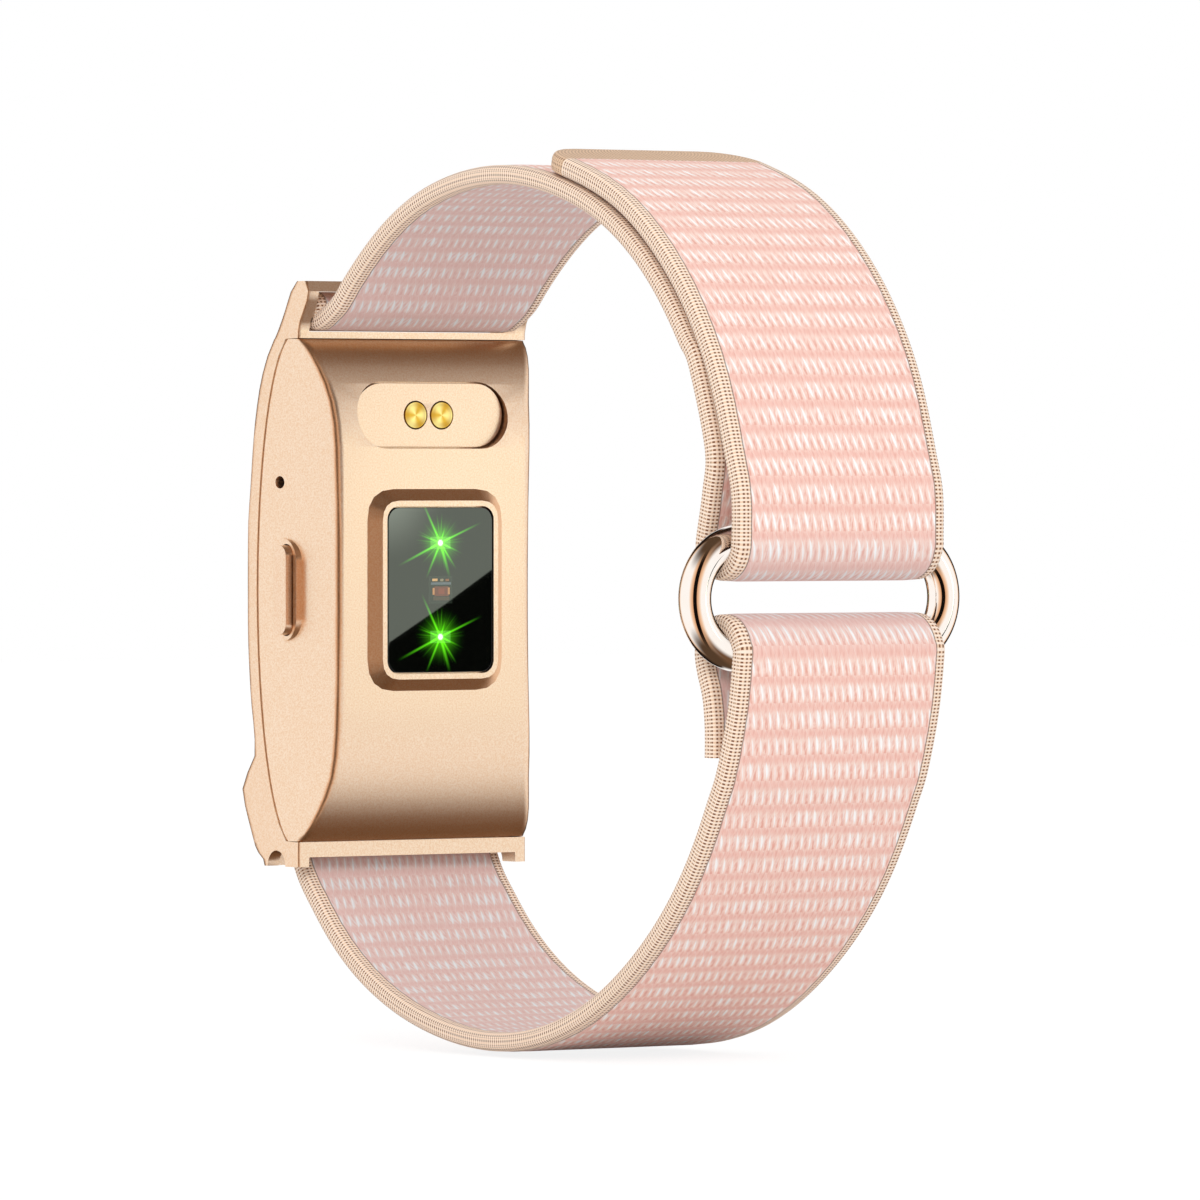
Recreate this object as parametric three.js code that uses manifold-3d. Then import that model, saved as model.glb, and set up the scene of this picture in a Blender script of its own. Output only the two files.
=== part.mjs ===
// Fitness tracker band: a metal tracker with a lens-shaped pod, worn on a woven hook-and-loop
// strap that closes through an oval ring. Millimetres, +Z up along the section of the forearm.
// The origin is the centre of the wrist opening: the tracker lies at -X with its sensor facing
// +X, the ring lies at +X, and Y runs across the strap.
import * as THREE from 'three';
import { mergeVertices } from 'three/addons/utils/BufferGeometryUtils.js';
import Module from 'manifold-3d';

const wasm = await Module();
wasm.setup();

// Worn loop: distances from the centre of the wrist opening
const skinDistance = 24.7;
const trackerRise = 0.6;
const ringDistance = 27.8;
const ringRise = 0.45;
const loopHalfHeight = 35;

// Strap webbing
const strapWidth = 20;
const strapThickness = 1.5;
const tipLength = 3.9;
const tipCornerRadius = 3.6;
const patchWidth = 16;
const patchLength = 24;
const patchThickness = 0.35;
const patchInset = 0.45;
const patchTipMargin = 2.5;
const loopWall = 0.65;
const tabHingeGap = 0.3;

// Closing ring
const ringTubeRadius = 1.275;
const ringBarSpacing = 8.9;
const ringBarLength = 15.3;
const upperRingClearance = 0.3;
const lowerRingClearance = 0.45;

// Tracker pod, from the side: two half-ellipses that meet in a tip at each end
const podHalfLength = 20.5;
const podDepth = 9;
const podHalfWidth = 11.4;
const podDraftShare = 0.2;
const fullDraftShare = 0.72;
const draftTaperPower = 1.3;
const seamSag = 5.4;
const seamTipLength = 0.4;
const backFlatHalf = 11;
const backEndDepth = 4.4;
const podEdgeRadius = 0.8;
const seamEdgeRadius = 0.1;
const bendLimitShare = 0.45;
const podWall = 1;
const podEndWall = 1.9;
const seamGap = 0.2;
const seamEndGap = 0.06;

// Carrier frame around the pod, with a lug for each strap end
const frameCrownDepth = 11;
const frameFrontRadius = 1.2;
const frameRearRadius = 0.3;
const lugArmWidth = 1.1;
const rearBarDepth = 3.16;
const rearBarThickness = 0.75;
const topBarHeight = 0.6;
const topSlotHeight = 3.25;
const crossbarHeight = 0.85;
const crossbarRearX = 1.7;
const crossbarBevel = 0.4;
const lowerBarHeight = 1.3;
const footHeight = 0.8;
const scoopRadius = 1.3;
const scoopX = 6.3;

// Front glass and the layers under it, which all follow the front of the frame
const glassHalfWidth = 9.4;
const glassFootSetback = 8.1;
const glassTopSetback = 2.1;
const glassCorner = 3;
const glassThickness = 1;
const glassProud = 0.05;
const ledgeWidth = 0.8;
const gasketThickness = 0.25;
const displayThickness = 0.7;

// Sensor on the skin side
const sensorWidth = 10.4;
const sensorHeight = 13.5;
const sensorCorner = 1.1;
const sensorThickness = 0.7;
const rimHeight = 0.85;
const rimWidth = 0.55;
const rimChamfer = 0.95;
const sensorLedge = 0.5;
const sensorBoardThickness = 0.6;
const sensorBoardWidth = 12.2;
const sensorBoardHeight = 16.4;
const sensorBoardDepth = 1.8;
const ledOffset = 3.85;
const ledWidth = 2;
const ledHeight = 1;
const ledThickness = 0.6;
const diodeWidth = 2.3;
const diodeHeight = 2.2;
const diodeThickness = 0.5;
const lightWallThickness = 0.45;
const lightWallGap = 0.35;

// Charging plate and its contacts
const contactRiseShare = 0.69756;
const plateWidth = 15;
const plateHeight = 5.5;
const plateDepth = 0.9;
const plateThickness = 1.1;
const plateLedge = 1.2;
const plateBossRim = 0.95;
const plateBossFloor = 0.7;
const contactSpacing = 2.6;
const contactRadius = 1.08;
const contactHead = 0.45;
const contactProud = 0.04;
const contactStemRadius = 0.6;

// Side button, on a flat pad that stands out of the sloping side wall
const buttonX = 5.45;
const buttonWidth = 1.75;
const buttonLength = 7.3;
const buttonProud = 0.66;
const buttonPadY = 11;
const buttonPadRear = 4;
const buttonPadWidth = 4.6;
const buttonPadLength = 8.4;
const buttonPadCorner = 1.9;
const buttonPadThickness = 1.2;
const buttonTravel = 0.35;
const flangeMargin = 0.25;
const flangeThickness = 0.4;
const buttonStemRadius = 0.6;
const buttonStemLength = 0.6;
const sealRadius = 0.22;
const switchWidth = 1.6;
const switchHeight = 3;
const switchDepth = 0.7;
const switchFlexThickness = 0.15;

// Vent in the side wall
const ventX = 6.4;
const ventSetback = 11.7;
const ventRadius = 0.52;
const ventMembraneRadius = 1.2;
const ventMembraneThickness = 0.4;

// Pieces inside the pod
const chassisFrontX = 7.3;
const chassisThickness = 0.6;
const chassisHalfWidth = 9;
const chassisSetback = 6.5;
const batteryThickness = 3;
const batteryHalfWidth = 6.8;
const motorBay = 8.7;
const batteryCorner = 0.4;
const boardThickness = 0.8;
const boardHalfWidth = 8.4;
const boardSetback = 3.5;
const boardFoot = 5.6;
const boardFrontX = 4.3;
const shieldThickness = 1.4;
const shieldWidth = 8.5;
const shieldEndMargin = 4.4;
const shieldShift = 1.55;
const motorRadius = 3;
const motorThickness = 2.4;
const motorFrontX = 6.1;
const screwSpread = 7.2;
const screwSetback = 8.1;
const screwHeadRadius = 0.9;
const screwHeadHeight = 0.4;
const screwRadius = 0.4;
const screwPostRadius = 1.1;
const flexHalfWidth = 3;
const flexThickness = 0.2;
const flexSetback = 4.2;

// Spring bars that hold the strap ends
const pinRadius = 0.7;
const pinWall = 0.25;
const pinTipRadius = 0.35;
const pinTipReach = 0.8;
const pinTipDepth = 1.5;
const upperPinX = 4;
const lowerPinX = 6.5;

// Clearances that pieces share, and the overrun of every cutter
const fitGap = 0.15;
const partGap = 0.3;
const slideGap = 0.12;
const slimGap = 0.1;
const overrun = 6;

// Mesh fineness, in steps
const cornerSteps = 4;
const roundSteps = 24;
const smallRoundSteps = 12;
const tubeSides = 12;
const ringEndSteps = 10;
const podSteps = 26;
const frameSteps = 30;
const glassSteps = 12;
const foldSteps = 6;
const strapSteps = 72;
const tipSteps = 6;
const easeSteps = 24;
const easeRounds = 4;
const easeShare = 0.5;

// Sizes that follow from the ones above
const seamHalfLength = podHalfLength + seamTipLength;
const podCavityHalf = podHalfLength - podEndWall;
const frameFlare = podHalfLength + seamEndGap;
const glassLow = podHalfLength - glassFootSetback;
const glassHigh = podHalfLength - glassTopSetback;
const contactRise = contactRiseShare * podHalfLength;
const ventRise = podHalfLength - ventSetback;
const chassisHalfLength = podHalfLength - chassisSetback;
const boardTop = podHalfLength - boardSetback;
const boardLength = boardTop - boardFoot;
const shieldLength = boardLength - shieldEndMargin;
const batteryTop = boardFoot - 2 * partGap;
const batteryLength = batteryTop + podHalfLength - motorBay;
const screwRise = podHalfLength - screwSetback;
const flexRise = podHalfLength - flexSetback;
const topBarTop = podHalfLength + topBarHeight;
const crossbarBottom = topBarTop + topSlotHeight;
const crossbarTop = crossbarBottom + crossbarHeight;
const lowerBarFoot = podHalfLength + lowerBarHeight;
const frameFoot = lowerBarFoot + footHeight;
const slotHalfWidth = podHalfWidth - lugArmWidth;
const loopRadius = pinRadius + slimGap + loopWall;
const upperPinRise = topBarTop + loopRadius + seamGap;
const lowerPinDrop = podHalfLength;
const pinPocketRadius = loopRadius + partGap;
const upperFoldRadius = ringTubeRadius + upperRingClearance + strapThickness / 2;
const lowerFoldRadius = ringTubeRadius + lowerRingClearance + strapThickness / 2;
const loopHalfDepth = ringDistance + upperFoldRadius;
const upperBarRise = ringRise + ringBarSpacing / 2;
const lowerBarRise = ringRise - ringBarSpacing / 2;

const finishes = {
  metal: [0xe8c4a0, 0.42, 0.9],
  polished: [0xf2c9a6, 0.08, 1],
  webbing: [0xefc2b6, 0.9, 0],
  tip: [0xc79f7e, 0.85, 0],
  hook: [0x8d8287, 0.95, 0],
  glass: [0x101413, 0.08, 0],
  display: [0x0b0d10, 0.2, 0],
  rubber: [0x2a2a2c, 0.8, 0],
  plastic: [0x35373a, 0.6, 0],
  board: [0x1d5b3a, 0.5, 0],
  gold: [0xe3bd55, 0.25, 1],
  steel: [0xb9bcc0, 0.3, 1],
  battery: [0x8f979e, 0.45, 0.3],
  led: [0x8dff4a, 0.3, 0],
};

// Solids: a closed geometry becomes a solid, and a solid becomes a geometry again
function solid(geometry) {
  geometry.deleteAttribute('normal');
  geometry.deleteAttribute('uv');
  const merged = mergeVertices(geometry);
  return new wasm.Manifold(new wasm.Mesh({
    numProp: 3,
    vertProperties: new Float32Array(merged.attributes.position.array),
    triVerts: new Uint32Array(merged.index.array),
  }));
}

function geometryOf(body) {
  const mesh = body.getMesh();
  const geometry = new THREE.BufferGeometry();
  geometry.setAttribute('position', new THREE.BufferAttribute(mesh.vertProperties, mesh.numProp));
  geometry.setIndex(new THREE.BufferAttribute(mesh.triVerts, 1));
  geometry.computeVertexNormals();
  return geometry;
}

function join(...bodies) {
  return bodies.reduce((whole, body) => whole.add(body));
}

function cut(body, ...cutters) {
  return cutters.reduce((rest, cutter) => rest.subtract(cutter), body);
}

// Outlines are drawn across the axis that they are extruded along:
// (y, z) along X, (x, z) along Y and (x, y) along Z
const axisFrames = {
  x: [new THREE.Vector3(0, 1, 0), new THREE.Vector3(0, 0, 1), new THREE.Vector3(1, 0, 0)],
  y: [new THREE.Vector3(1, 0, 0), new THREE.Vector3(0, 0, 1), new THREE.Vector3(0, -1, 0)],
  z: [new THREE.Vector3(1, 0, 0), new THREE.Vector3(0, 1, 0), new THREE.Vector3(0, 0, 1)],
};

function prism(outline, axis, from, to) {
  const geometry = new THREE.ExtrudeGeometry(outline, {
    depth: to - from, bevelEnabled: false, curveSegments: cornerSteps,
  });
  geometry.applyMatrix4(new THREE.Matrix4().makeBasis(...axisFrames[axis]));
  const start = axisFrames[axis][2].clone().multiplyScalar(axis === 'y' ? -to : from);
  geometry.translate(start.x, start.y, start.z);
  return solid(geometry);
}

function block(x, y, z) {
  const geometry = new THREE.BoxGeometry(x[1] - x[0], y[1] - y[0], z[1] - z[0]);
  geometry.translate((x[0] + x[1]) / 2, (y[0] + y[1]) / 2, (z[0] + z[1]) / 2);
  return solid(geometry);
}

function roundedOutline(width, height, radius, centreA = 0, centreB = 0) {
  const r = Math.min(radius, width / 2, height / 2);
  const a = width / 2 - r;
  const b = height / 2 - r;
  const outline = new THREE.Shape();
  outline.absarc(centreA + a, centreB - b, r, -Math.PI / 2, 0);
  outline.absarc(centreA + a, centreB + b, r, 0, Math.PI / 2);
  outline.absarc(centreA - a, centreB + b, r, Math.PI / 2, Math.PI);
  outline.absarc(centreA - a, centreB - b, r, Math.PI, Math.PI * 1.5);
  return outline;
}

// A round rod along X, whose centre is at (y, z), or along Y, whose centre is at (x, z)
function rod(radius, axis, from, to, centreA, centreB, sides = roundSteps) {
  const geometry = new THREE.CylinderGeometry(radius, radius, to - from, sides);
  const middle = (from + to) / 2;
  if (axis === 'x') {
    geometry.rotateZ(Math.PI / 2);
    geometry.translate(middle, centreA, centreB);
  } else {
    geometry.translate(centreA, middle, centreB);
  }
  return solid(geometry);
}

// A body lofted through rings that all have the same count of points
function loft(rings) {
  const count = rings[0].length;
  const faces = [];
  for (let level = 0; level + 1 < rings.length; level += 1) {
    for (let i = 0; i < count; i += 1) {
      const a = level * count + i;
      const b = level * count + ((i + 1) % count);
      faces.push(a, b, b + count, a, b + count, a + count);
    }
  }
  const last = (rings.length - 1) * count;
  for (let i = 1; i + 1 < count; i += 1) {
    faces.push(0, i + 1, i);
    faces.push(last, last + i, last + i + 1);
  }
  const geometry = new THREE.BufferGeometry().setFromPoints(rings.flat());
  geometry.setIndex(faces);
  return solid(geometry);
}

// The points round a four-sided outline with rounded corners, given as [corner, radius] pairs
function roundedRing(corners) {
  const ring = [];
  corners.forEach(([corner, radius], i) => {
    const before = corners[(i + corners.length - 1) % corners.length][0];
    const after = corners[(i + 1) % corners.length][0];
    const start = before.clone().sub(corner).setLength(radius).add(corner);
    const end = after.clone().sub(corner).setLength(radius).add(corner);
    ring.push(...new THREE.QuadraticBezierCurve3(start, corner, end).getPoints(cornerSteps));
  });
  return ring;
}

// A section of the tracker at one height, with its own half width at the front and at the back
function trackerSection(z, front, back, halfFront, halfBack, frontRadius, backRadius) {
  const limit = bendLimitShare * (back - front);
  const frontBend = Math.min(frontRadius, limit);
  const backBend = Math.min(backRadius, limit);
  return roundedRing([
    [new THREE.Vector3(front, -halfFront, z), frontBend],
    [new THREE.Vector3(back, -halfBack, z), backBend],
    [new THREE.Vector3(back, halfBack, z), backBend],
    [new THREE.Vector3(front, halfFront, z), frontBend],
  ]);
}

// A rounded rectangle that faces +X, for a body lofted along X
function facingRing(x, width, height, radius) {
  return roundedRing([
    [new THREE.Vector3(x, -width / 2, -height / 2), radius],
    [new THREE.Vector3(x, width / 2, -height / 2), radius],
    [new THREE.Vector3(x, width / 2, height / 2), radius],
    [new THREE.Vector3(x, -width / 2, height / 2), radius],
  ]);
}

// A smooth value through knots of [height, value], without overshoot
function smoothThrough(knots) {
  const steepness = (a, b) => (b[1] - a[1]) / (b[0] - a[0]);
  const slopes = knots.map((knot, i) => {
    if (i === 0 || i === knots.length - 1) return 0;
    const before = steepness(knots[i - 1], knot);
    const after = steepness(knot, knots[i + 1]);
    return before * after > 0 ? (2 * before * after) / (before + after) : 0;
  });
  return (z) => {
    let i = 0;
    while (i + 2 < knots.length && z > knots[i + 1][0]) i += 1;
    const span = knots[i + 1][0] - knots[i][0];
    const rise = knots[i + 1][1] - knots[i][1];
    const t = Math.min(Math.max((z - knots[i][0]) / span, 0), 1);
    const startPull = (slopes[i] * span - rise) * t * (1 - t) ** 2;
    const endPull = (rise - slopes[i + 1] * span) * t ** 2 * (1 - t);
    return knots[i][1] + rise * t + startPull + endPull;
  };
}

function evenly(from, to, steps) {
  return Array.from({ length: steps + 1 }, (_, i) => from + ((to - from) * i) / steps);
}

// The side view of the tracker: depths along X at each height, with the skin face at zero
function ellipseSag(share) {
  return 1 - Math.sqrt(1 - Math.min(Math.abs(share), 1) ** 2);
}

function seamX(z) {
  return -podDepth + seamSag * ellipseSag(z / seamHalfLength);
}

function backX(z) {
  const past = Math.max(Math.abs(z) - backFlatHalf, 0);
  return -backEndDepth * ellipseSag(past / (seamHalfLength - backFlatHalf));
}

// The side walls draw in towards the skin, less so where the pod thins out at its tips
function podSideY(z, x) {
  const depthShare = (backX(z) - seamX(z)) / podDepth;
  const taper = Math.min(depthShare / fullDraftShare, 1) ** draftTaperPower;
  return podHalfWidth - podDraftShare * taper * (x - seamX(z));
}

function cavitySideY(z, x) {
  return podSideY(z, x) - podWall;
}

// The front of the frame: heights as shares of the pod's half length, depths as shares of the crown
const frontShares = [
  [-1.093, 0.8], [-1.039, 0.91], [-0.961, 0.98], [-0.878, 1.055], [-0.771, 1.1],
  [-0.722, 1.005], [-0.639, 0.907], [-0.566, 0.917], [-0.42, 0.965], [-0.127, 1],
  [0.239, 1], [0.41, 0.965], [0.639, 0.92], [0.8, 0.856], [0.878, 0.802],
  [0.961, 0.716], [1.039, 0.61], [1.117, 0.52], [1.2, 0.43], [1.229, 0.338],
];
const frontX = smoothThrough(frontShares.map(
  ([rise, depth]) => [rise * podHalfLength, -depth * frameCrownDepth]));

const lugRearX = smoothThrough([
  [topBarTop, -rearBarDepth], [crossbarBottom, -crossbarRearX],
  [crossbarTop, -crossbarRearX - crossbarBevel],
]);

function frameRearX(z) {
  if (Math.abs(z) <= podHalfLength) return seamX(z) - seamGap;
  return z > topBarTop ? lugRearX(z) : -rearBarDepth;
}

// A layer between two depths behind the front of the frame, with rounded corners
function frontLayer(nearOffset, farOffset, low, high, halfWidth, corner) {
  const levels = evenly(low, high, glassSteps);
  const near = levels.map((z) => new THREE.Vector2(frontX(z) + nearOffset, z));
  const far = levels.map((z) => new THREE.Vector2(frontX(z) + farOffset, z));
  const slab = prism(new THREE.Shape([...far, ...near.reverse()]), 'y', -halfWidth, halfWidth);
  const outline = roundedOutline(2 * halfWidth, high - low, corner, 0, (low + high) / 2);
  return slab.intersect(prism(outline, 'x', -frameCrownDepth - overrun, 0));
}

const glassStackDepth = glassThickness - glassProud + slimGap + gasketThickness + slimGap;

function carrierFrame() {
  const levels = new Set([
    ...evenly(-frameFoot, -frameFlare, cornerSteps),
    ...evenly(-podHalfLength, podHalfLength, frameSteps),
    frameFlare,
    ...evenly(topBarTop, crossbarBottom, cornerSteps),
    ...evenly(crossbarBottom, crossbarTop, cornerSteps / 2),
  ]);
  const body = loft([...levels].map((z) => trackerSection(
    z, frontX(z), frameRearX(z), podHalfWidth, podHalfWidth, frameFrontRadius, frameRearRadius)));
  const glassSeat = frontLayer(-overrun, glassStackDepth,
    -glassLow - fitGap, glassHigh + fitGap, glassHalfWidth + fitGap, glassCorner);
  const windowHeight = glassLow + glassHigh - 2 * ledgeWidth;
  const window = prism(roundedOutline(2 * (glassHalfWidth - ledgeWidth), windowHeight,
    glassCorner - ledgeWidth, 0, (glassHigh - glassLow) / 2),
  'x', -frameCrownDepth - overrun, overrun);
  const across = [-frameCrownDepth - overrun, overrun];
  const slotSpan = [-slotHalfWidth, slotHalfWidth];
  const topSlot = block(across, slotSpan, [topBarTop, crossbarBottom]);
  const pocket = rod(pinPocketRadius, 'y', ...slotSpan, -lowerPinX, -lowerPinDrop);
  const pocketFront = -lowerPinX - pinPocketRadius;
  const footZ = -frameFoot - overrun;
  const exit = block([pocketFront, -rearBarDepth - rearBarThickness], slotSpan,
    [footZ, -lowerPinDrop]);
  const underBar = block([pocketFront, overrun], slotSpan, [footZ, -lowerBarFoot]);
  const scoop = rod(scoopRadius, 'y', -podHalfWidth - overrun, podHalfWidth + overrun,
    -scoopX, -frameFoot);
  const tipEnd = slotHalfWidth + pinTipReach + slimGap;
  const tipHoles = [[upperPinX, upperPinRise], [lowerPinX, -lowerPinDrop]].map(
    ([x, z]) => rod(pinTipRadius + slimGap, 'y', -tipEnd, tipEnd, -x, z, smallRoundSteps));
  return cut(body, glassSeat, window, topSlot, pocket, exit, underBar, scoop, ...tipHoles);
}

function backCase() {
  const levels = evenly(-1, 1, podSteps).map((t) => podHalfLength * Math.sin((t * Math.PI) / 2));
  const shell = loft(levels.map((z) => trackerSection(
    z, seamX(z), backX(z), podHalfWidth, podSideY(z, backX(z)), seamEdgeRadius, podEdgeRadius)));
  const cavityLevels = evenly(-podCavityHalf, podCavityHalf, podSteps);
  const cavity = loft(cavityLevels.map((z) => trackerSection(
    z, seamX(z) - podWall, backX(z) - podWall, cavitySideY(z, seamX(z) - podWall),
    cavitySideY(z, backX(z) - podWall), seamEdgeRadius, podEdgeRadius)));

  const rimGrowth = 2 * rimWidth;
  const baseGrowth = 2 * (rimWidth + rimChamfer);
  const plateau = loft([
    facingRing(-podWall / 2, sensorWidth + baseGrowth, sensorHeight + baseGrowth,
      sensorCorner + rimWidth + rimChamfer),
    facingRing(0, sensorWidth + baseGrowth, sensorHeight + baseGrowth,
      sensorCorner + rimWidth + rimChamfer),
    facingRing(rimHeight, sensorWidth + rimGrowth, sensorHeight + rimGrowth,
      sensorCorner + rimWidth),
  ]);
  const glassFloor = rimHeight - sensorThickness - slimGap / 2;
  const glassSeat = prism(roundedOutline(sensorWidth + 2 * slimGap, sensorHeight + 2 * slimGap,
    sensorCorner), 'x', glassFloor, overrun);
  const lightHole = prism(roundedOutline(sensorWidth - 2 * sensorLedge,
    sensorHeight - 2 * sensorLedge, sensorCorner), 'x', -overrun / 2, overrun);

  const plateFloor = -plateDepth - plateThickness - slimGap / 2;
  const bossOutline = roundedOutline(plateWidth + 2 * plateBossRim, plateHeight + 2 * plateBossRim,
    plateHeight, 0, contactRise);
  const boss = prism(bossOutline, 'x', plateFloor - plateBossFloor, 0).intersect(shell);
  const plateSeat = prism(roundedOutline(plateWidth, plateHeight, plateHeight, 0, contactRise),
    'x', plateFloor, overrun);
  const plateHole = prism(roundedOutline(plateWidth - 2 * plateLedge, plateHeight - 2 * plateLedge,
    plateHeight, 0, contactRise), 'x', -overrun, overrun);

  const padMiddle = -buttonPadRear - buttonPadWidth / 2;
  const pad = prism(roundedOutline(buttonPadWidth, buttonPadLength, buttonPadCorner, padMiddle),
    'y', -buttonPadY, -buttonPadY + buttonPadThickness);
  const buttonHole = prism(roundedOutline(buttonWidth + 2 * slideGap,
    buttonLength + 2 * slideGap, buttonWidth, -buttonX), 'y', -podHalfWidth - overrun, -buttonPadY
    + 2 * buttonPadThickness);
  const vent = rod(ventRadius, 'y', -podHalfWidth - overrun, -podHalfWidth + 2 * podWall, -ventX,
    ventRise, smallRoundSteps);
  const loopSeat = rod(loopRadius + fitGap, 'y', -slotHalfWidth, slotHalfWidth, -lowerPinX,
    -lowerPinDrop);
  const hollow = cut(shell, cavity);
  return cut(join(hollow, plateau, boss, pad), glassSeat, lightHole, plateSeat, plateHole,
    buttonHole, vent, loopSeat);
}

function frontGlass() {
  return frontLayer(-glassProud, glassThickness - glassProud, -glassLow, glassHigh,
    glassHalfWidth, glassCorner);
}

function glassGasket() {
  const near = glassThickness - glassProud + slimGap / 2;
  const far = near + gasketThickness;
  const outer = frontLayer(near, far, -glassLow, glassHigh, glassHalfWidth, glassCorner);
  const inner = frontLayer(near - overrun, far + overrun, -glassLow + ledgeWidth - slimGap,
    glassHigh - ledgeWidth + slimGap, glassHalfWidth - ledgeWidth + slimGap,
    glassCorner - ledgeWidth);
  return outer.subtract(inner);
}

const displayBack = glassThickness + slimGap + displayThickness;

function displayPanel() {
  const inset = ledgeWidth + fitGap;
  return frontLayer(glassThickness + slimGap, displayBack, -glassLow + inset, glassHigh - inset,
    glassHalfWidth - inset, glassCorner - ledgeWidth);
}

// Pieces inside the pod, from the display to the skin
const chassisBack = -chassisFrontX + chassisThickness;
const boardBack = -boardFrontX + boardThickness;

function chassis() {
  const plate = block([-chassisFrontX, chassisBack], [-chassisHalfWidth, chassisHalfWidth],
    [-chassisHalfLength, chassisHalfLength]);
  const posts = [-screwSpread, screwSpread].map((y) => rod(screwPostRadius, 'x',
    chassisBack - chassisThickness / 2, -boardFrontX - slimGap, y, screwRise, smallRoundSteps));
  const holes = [-screwSpread, screwSpread].map((y) => rod(screwRadius + slimGap, 'x',
    chassisBack + slimGap, overrun, y, screwRise, smallRoundSteps));
  return cut(join(plate, ...posts), ...holes);
}

function battery() {
  const front = chassisBack + slimGap;
  return prism(roundedOutline(2 * batteryHalfWidth, batteryLength, batteryCorner, 0,
    batteryTop - batteryLength / 2), 'x', front, front + batteryThickness);
}

function mainBoard() {
  const plate = block([-boardFrontX, boardBack], [-boardHalfWidth, boardHalfWidth],
    [boardTop - boardLength, boardTop]);
  const holes = [-screwSpread, screwSpread].map((y) => rod(screwRadius + slimGap, 'x',
    -overrun, overrun, y, screwRise, smallRoundSteps));
  return cut(plate, ...holes);
}

function boardScrew(y) {
  const head = rod(screwHeadRadius, 'x', boardBack + slimGap, boardBack + slimGap
    + screwHeadHeight, y, screwRise, smallRoundSteps);
  const shank = rod(screwRadius, 'x', chassisBack + 2 * slimGap, boardBack + 2 * slimGap, y,
    screwRise, smallRoundSteps);
  return join(head, shank);
}

function shieldCan() {
  const back = -boardFrontX - slimGap;
  const top = screwRise + screwPostRadius;
  return block([back - shieldThickness, back],
    [-shieldWidth / 2 - shieldShift, shieldWidth / 2 - shieldShift], [top - shieldLength, top]);
}

function displayFlex() {
  return block([frontX(flexRise) + displayBack + slimGap, -boardFrontX - slimGap],
    [-flexHalfWidth, flexHalfWidth], [flexRise - flexThickness, flexRise]);
}

function vibrationMotor() {
  const rise = batteryTop - batteryLength - motorRadius - 2 * slimGap;
  return rod(motorRadius, 'x', -motorFrontX, -motorFrontX + motorThickness, 0, rise);
}

// Sensor stack, from the sensor board to the window
function sensorBoard() {
  return prism(roundedOutline(sensorBoardWidth, sensorBoardHeight, sensorCorner), 'x',
    -sensorBoardDepth - sensorBoardThickness, -sensorBoardDepth);
}

function sensorChip(width, height, thickness, rise) {
  const front = -sensorBoardDepth + slimGap;
  return block([front, front + thickness], [-width / 2, width / 2],
    [rise - height / 2, rise + height / 2]);
}

function lightWall() {
  const ring = (growth) => roundedOutline(diodeWidth + 2 * growth, diodeHeight + 2 * growth,
    lightWallGap);
  const front = -sensorBoardDepth + slimGap;
  return cut(prism(ring(lightWallGap + lightWallThickness), 'x', front, 0),
    prism(ring(lightWallGap), 'x', -overrun, overrun));
}

function sensorWindow() {
  const back = rimHeight - sensorThickness;
  return prism(roundedOutline(sensorWidth, sensorHeight, sensorCorner), 'x', back,
    back + sensorThickness - slimGap / 2);
}

// Charging plate, with a hole for each contact
const contactYs = [-contactSpacing / 2, contactSpacing / 2];

function chargingPlate() {
  const plate = prism(roundedOutline(plateWidth - 2 * fitGap, plateHeight - 2 * fitGap,
    plateHeight, 0, contactRise), 'x', -plateDepth - plateThickness, -plateDepth);
  return cut(plate, ...contactYs.map((y) => rod(contactRadius + slimGap, 'x', -overrun, overrun,
    y, contactRise)));
}

function chargingContact(y) {
  const face = -plateDepth + contactProud;
  const head = rod(contactRadius, 'x', face - contactHead, face, y, contactRise);
  const stem = rod(contactStemRadius, 'x', boardBack + fitGap, face - contactHead / 2, y,
    contactRise, smallRoundSteps);
  return join(head, stem);
}

// Side button: the cap slides through the wall, and its flange keeps it in
const flangeRearX = -buttonX + buttonWidth / 2 + flangeMargin;
const flangeTop = cavitySideY(0, flangeRearX) - fitGap;
const flangeBottom = flangeTop - flangeThickness;
const stemEnd = flangeBottom - buttonStemLength;
const switchFace = stemEnd - buttonTravel - slimGap;

function sideButton() {
  const cap = prism(roundedOutline(buttonWidth, buttonLength, buttonWidth, -buttonX), 'y',
    -buttonPadY - buttonProud, -flangeBottom);
  const flange = prism(roundedOutline(buttonWidth + 2 * flangeMargin,
    buttonLength + 2 * flangeMargin, buttonWidth, -buttonX), 'y', -flangeTop, -flangeBottom);
  const stem = rod(buttonStemRadius, 'y', -flangeBottom - slimGap, -stemEnd, -buttonX, 0,
    smallRoundSteps);
  return join(cap, flange, stem);
}

function buttonSeal() {
  const ringRadius = buttonStemRadius + slimGap / 2 + sealRadius;
  const geometry = new THREE.TorusGeometry(ringRadius, sealRadius, cornerSteps * 2,
    smallRoundSteps);
  geometry.rotateX(Math.PI / 2);
  geometry.translate(-buttonX, -flangeBottom + slimGap / 2 + sealRadius, 0);
  return solid(geometry);
}

function buttonSwitch() {
  return block([-buttonX - switchWidth / 2, -buttonX + switchWidth / 2],
    [-switchFace, -switchFace + switchDepth], [-switchHeight / 2, switchHeight / 2]);
}

function switchFlex() {
  const face = -switchFace + switchDepth + slimGap / 2;
  return block([-buttonX - switchWidth / 2, -buttonX + switchWidth], [face, face
    + switchFlexThickness], [-switchHeight, switchHeight]);
}

function ventMembrane() {
  const wallY = cavitySideY(ventRise, -ventX + ventMembraneRadius);
  return rod(ventMembraneRadius, 'y', -wallY + fitGap, -wallY + fitGap + ventMembraneThickness,
    -ventX, ventRise, smallRoundSteps);
}

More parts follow.
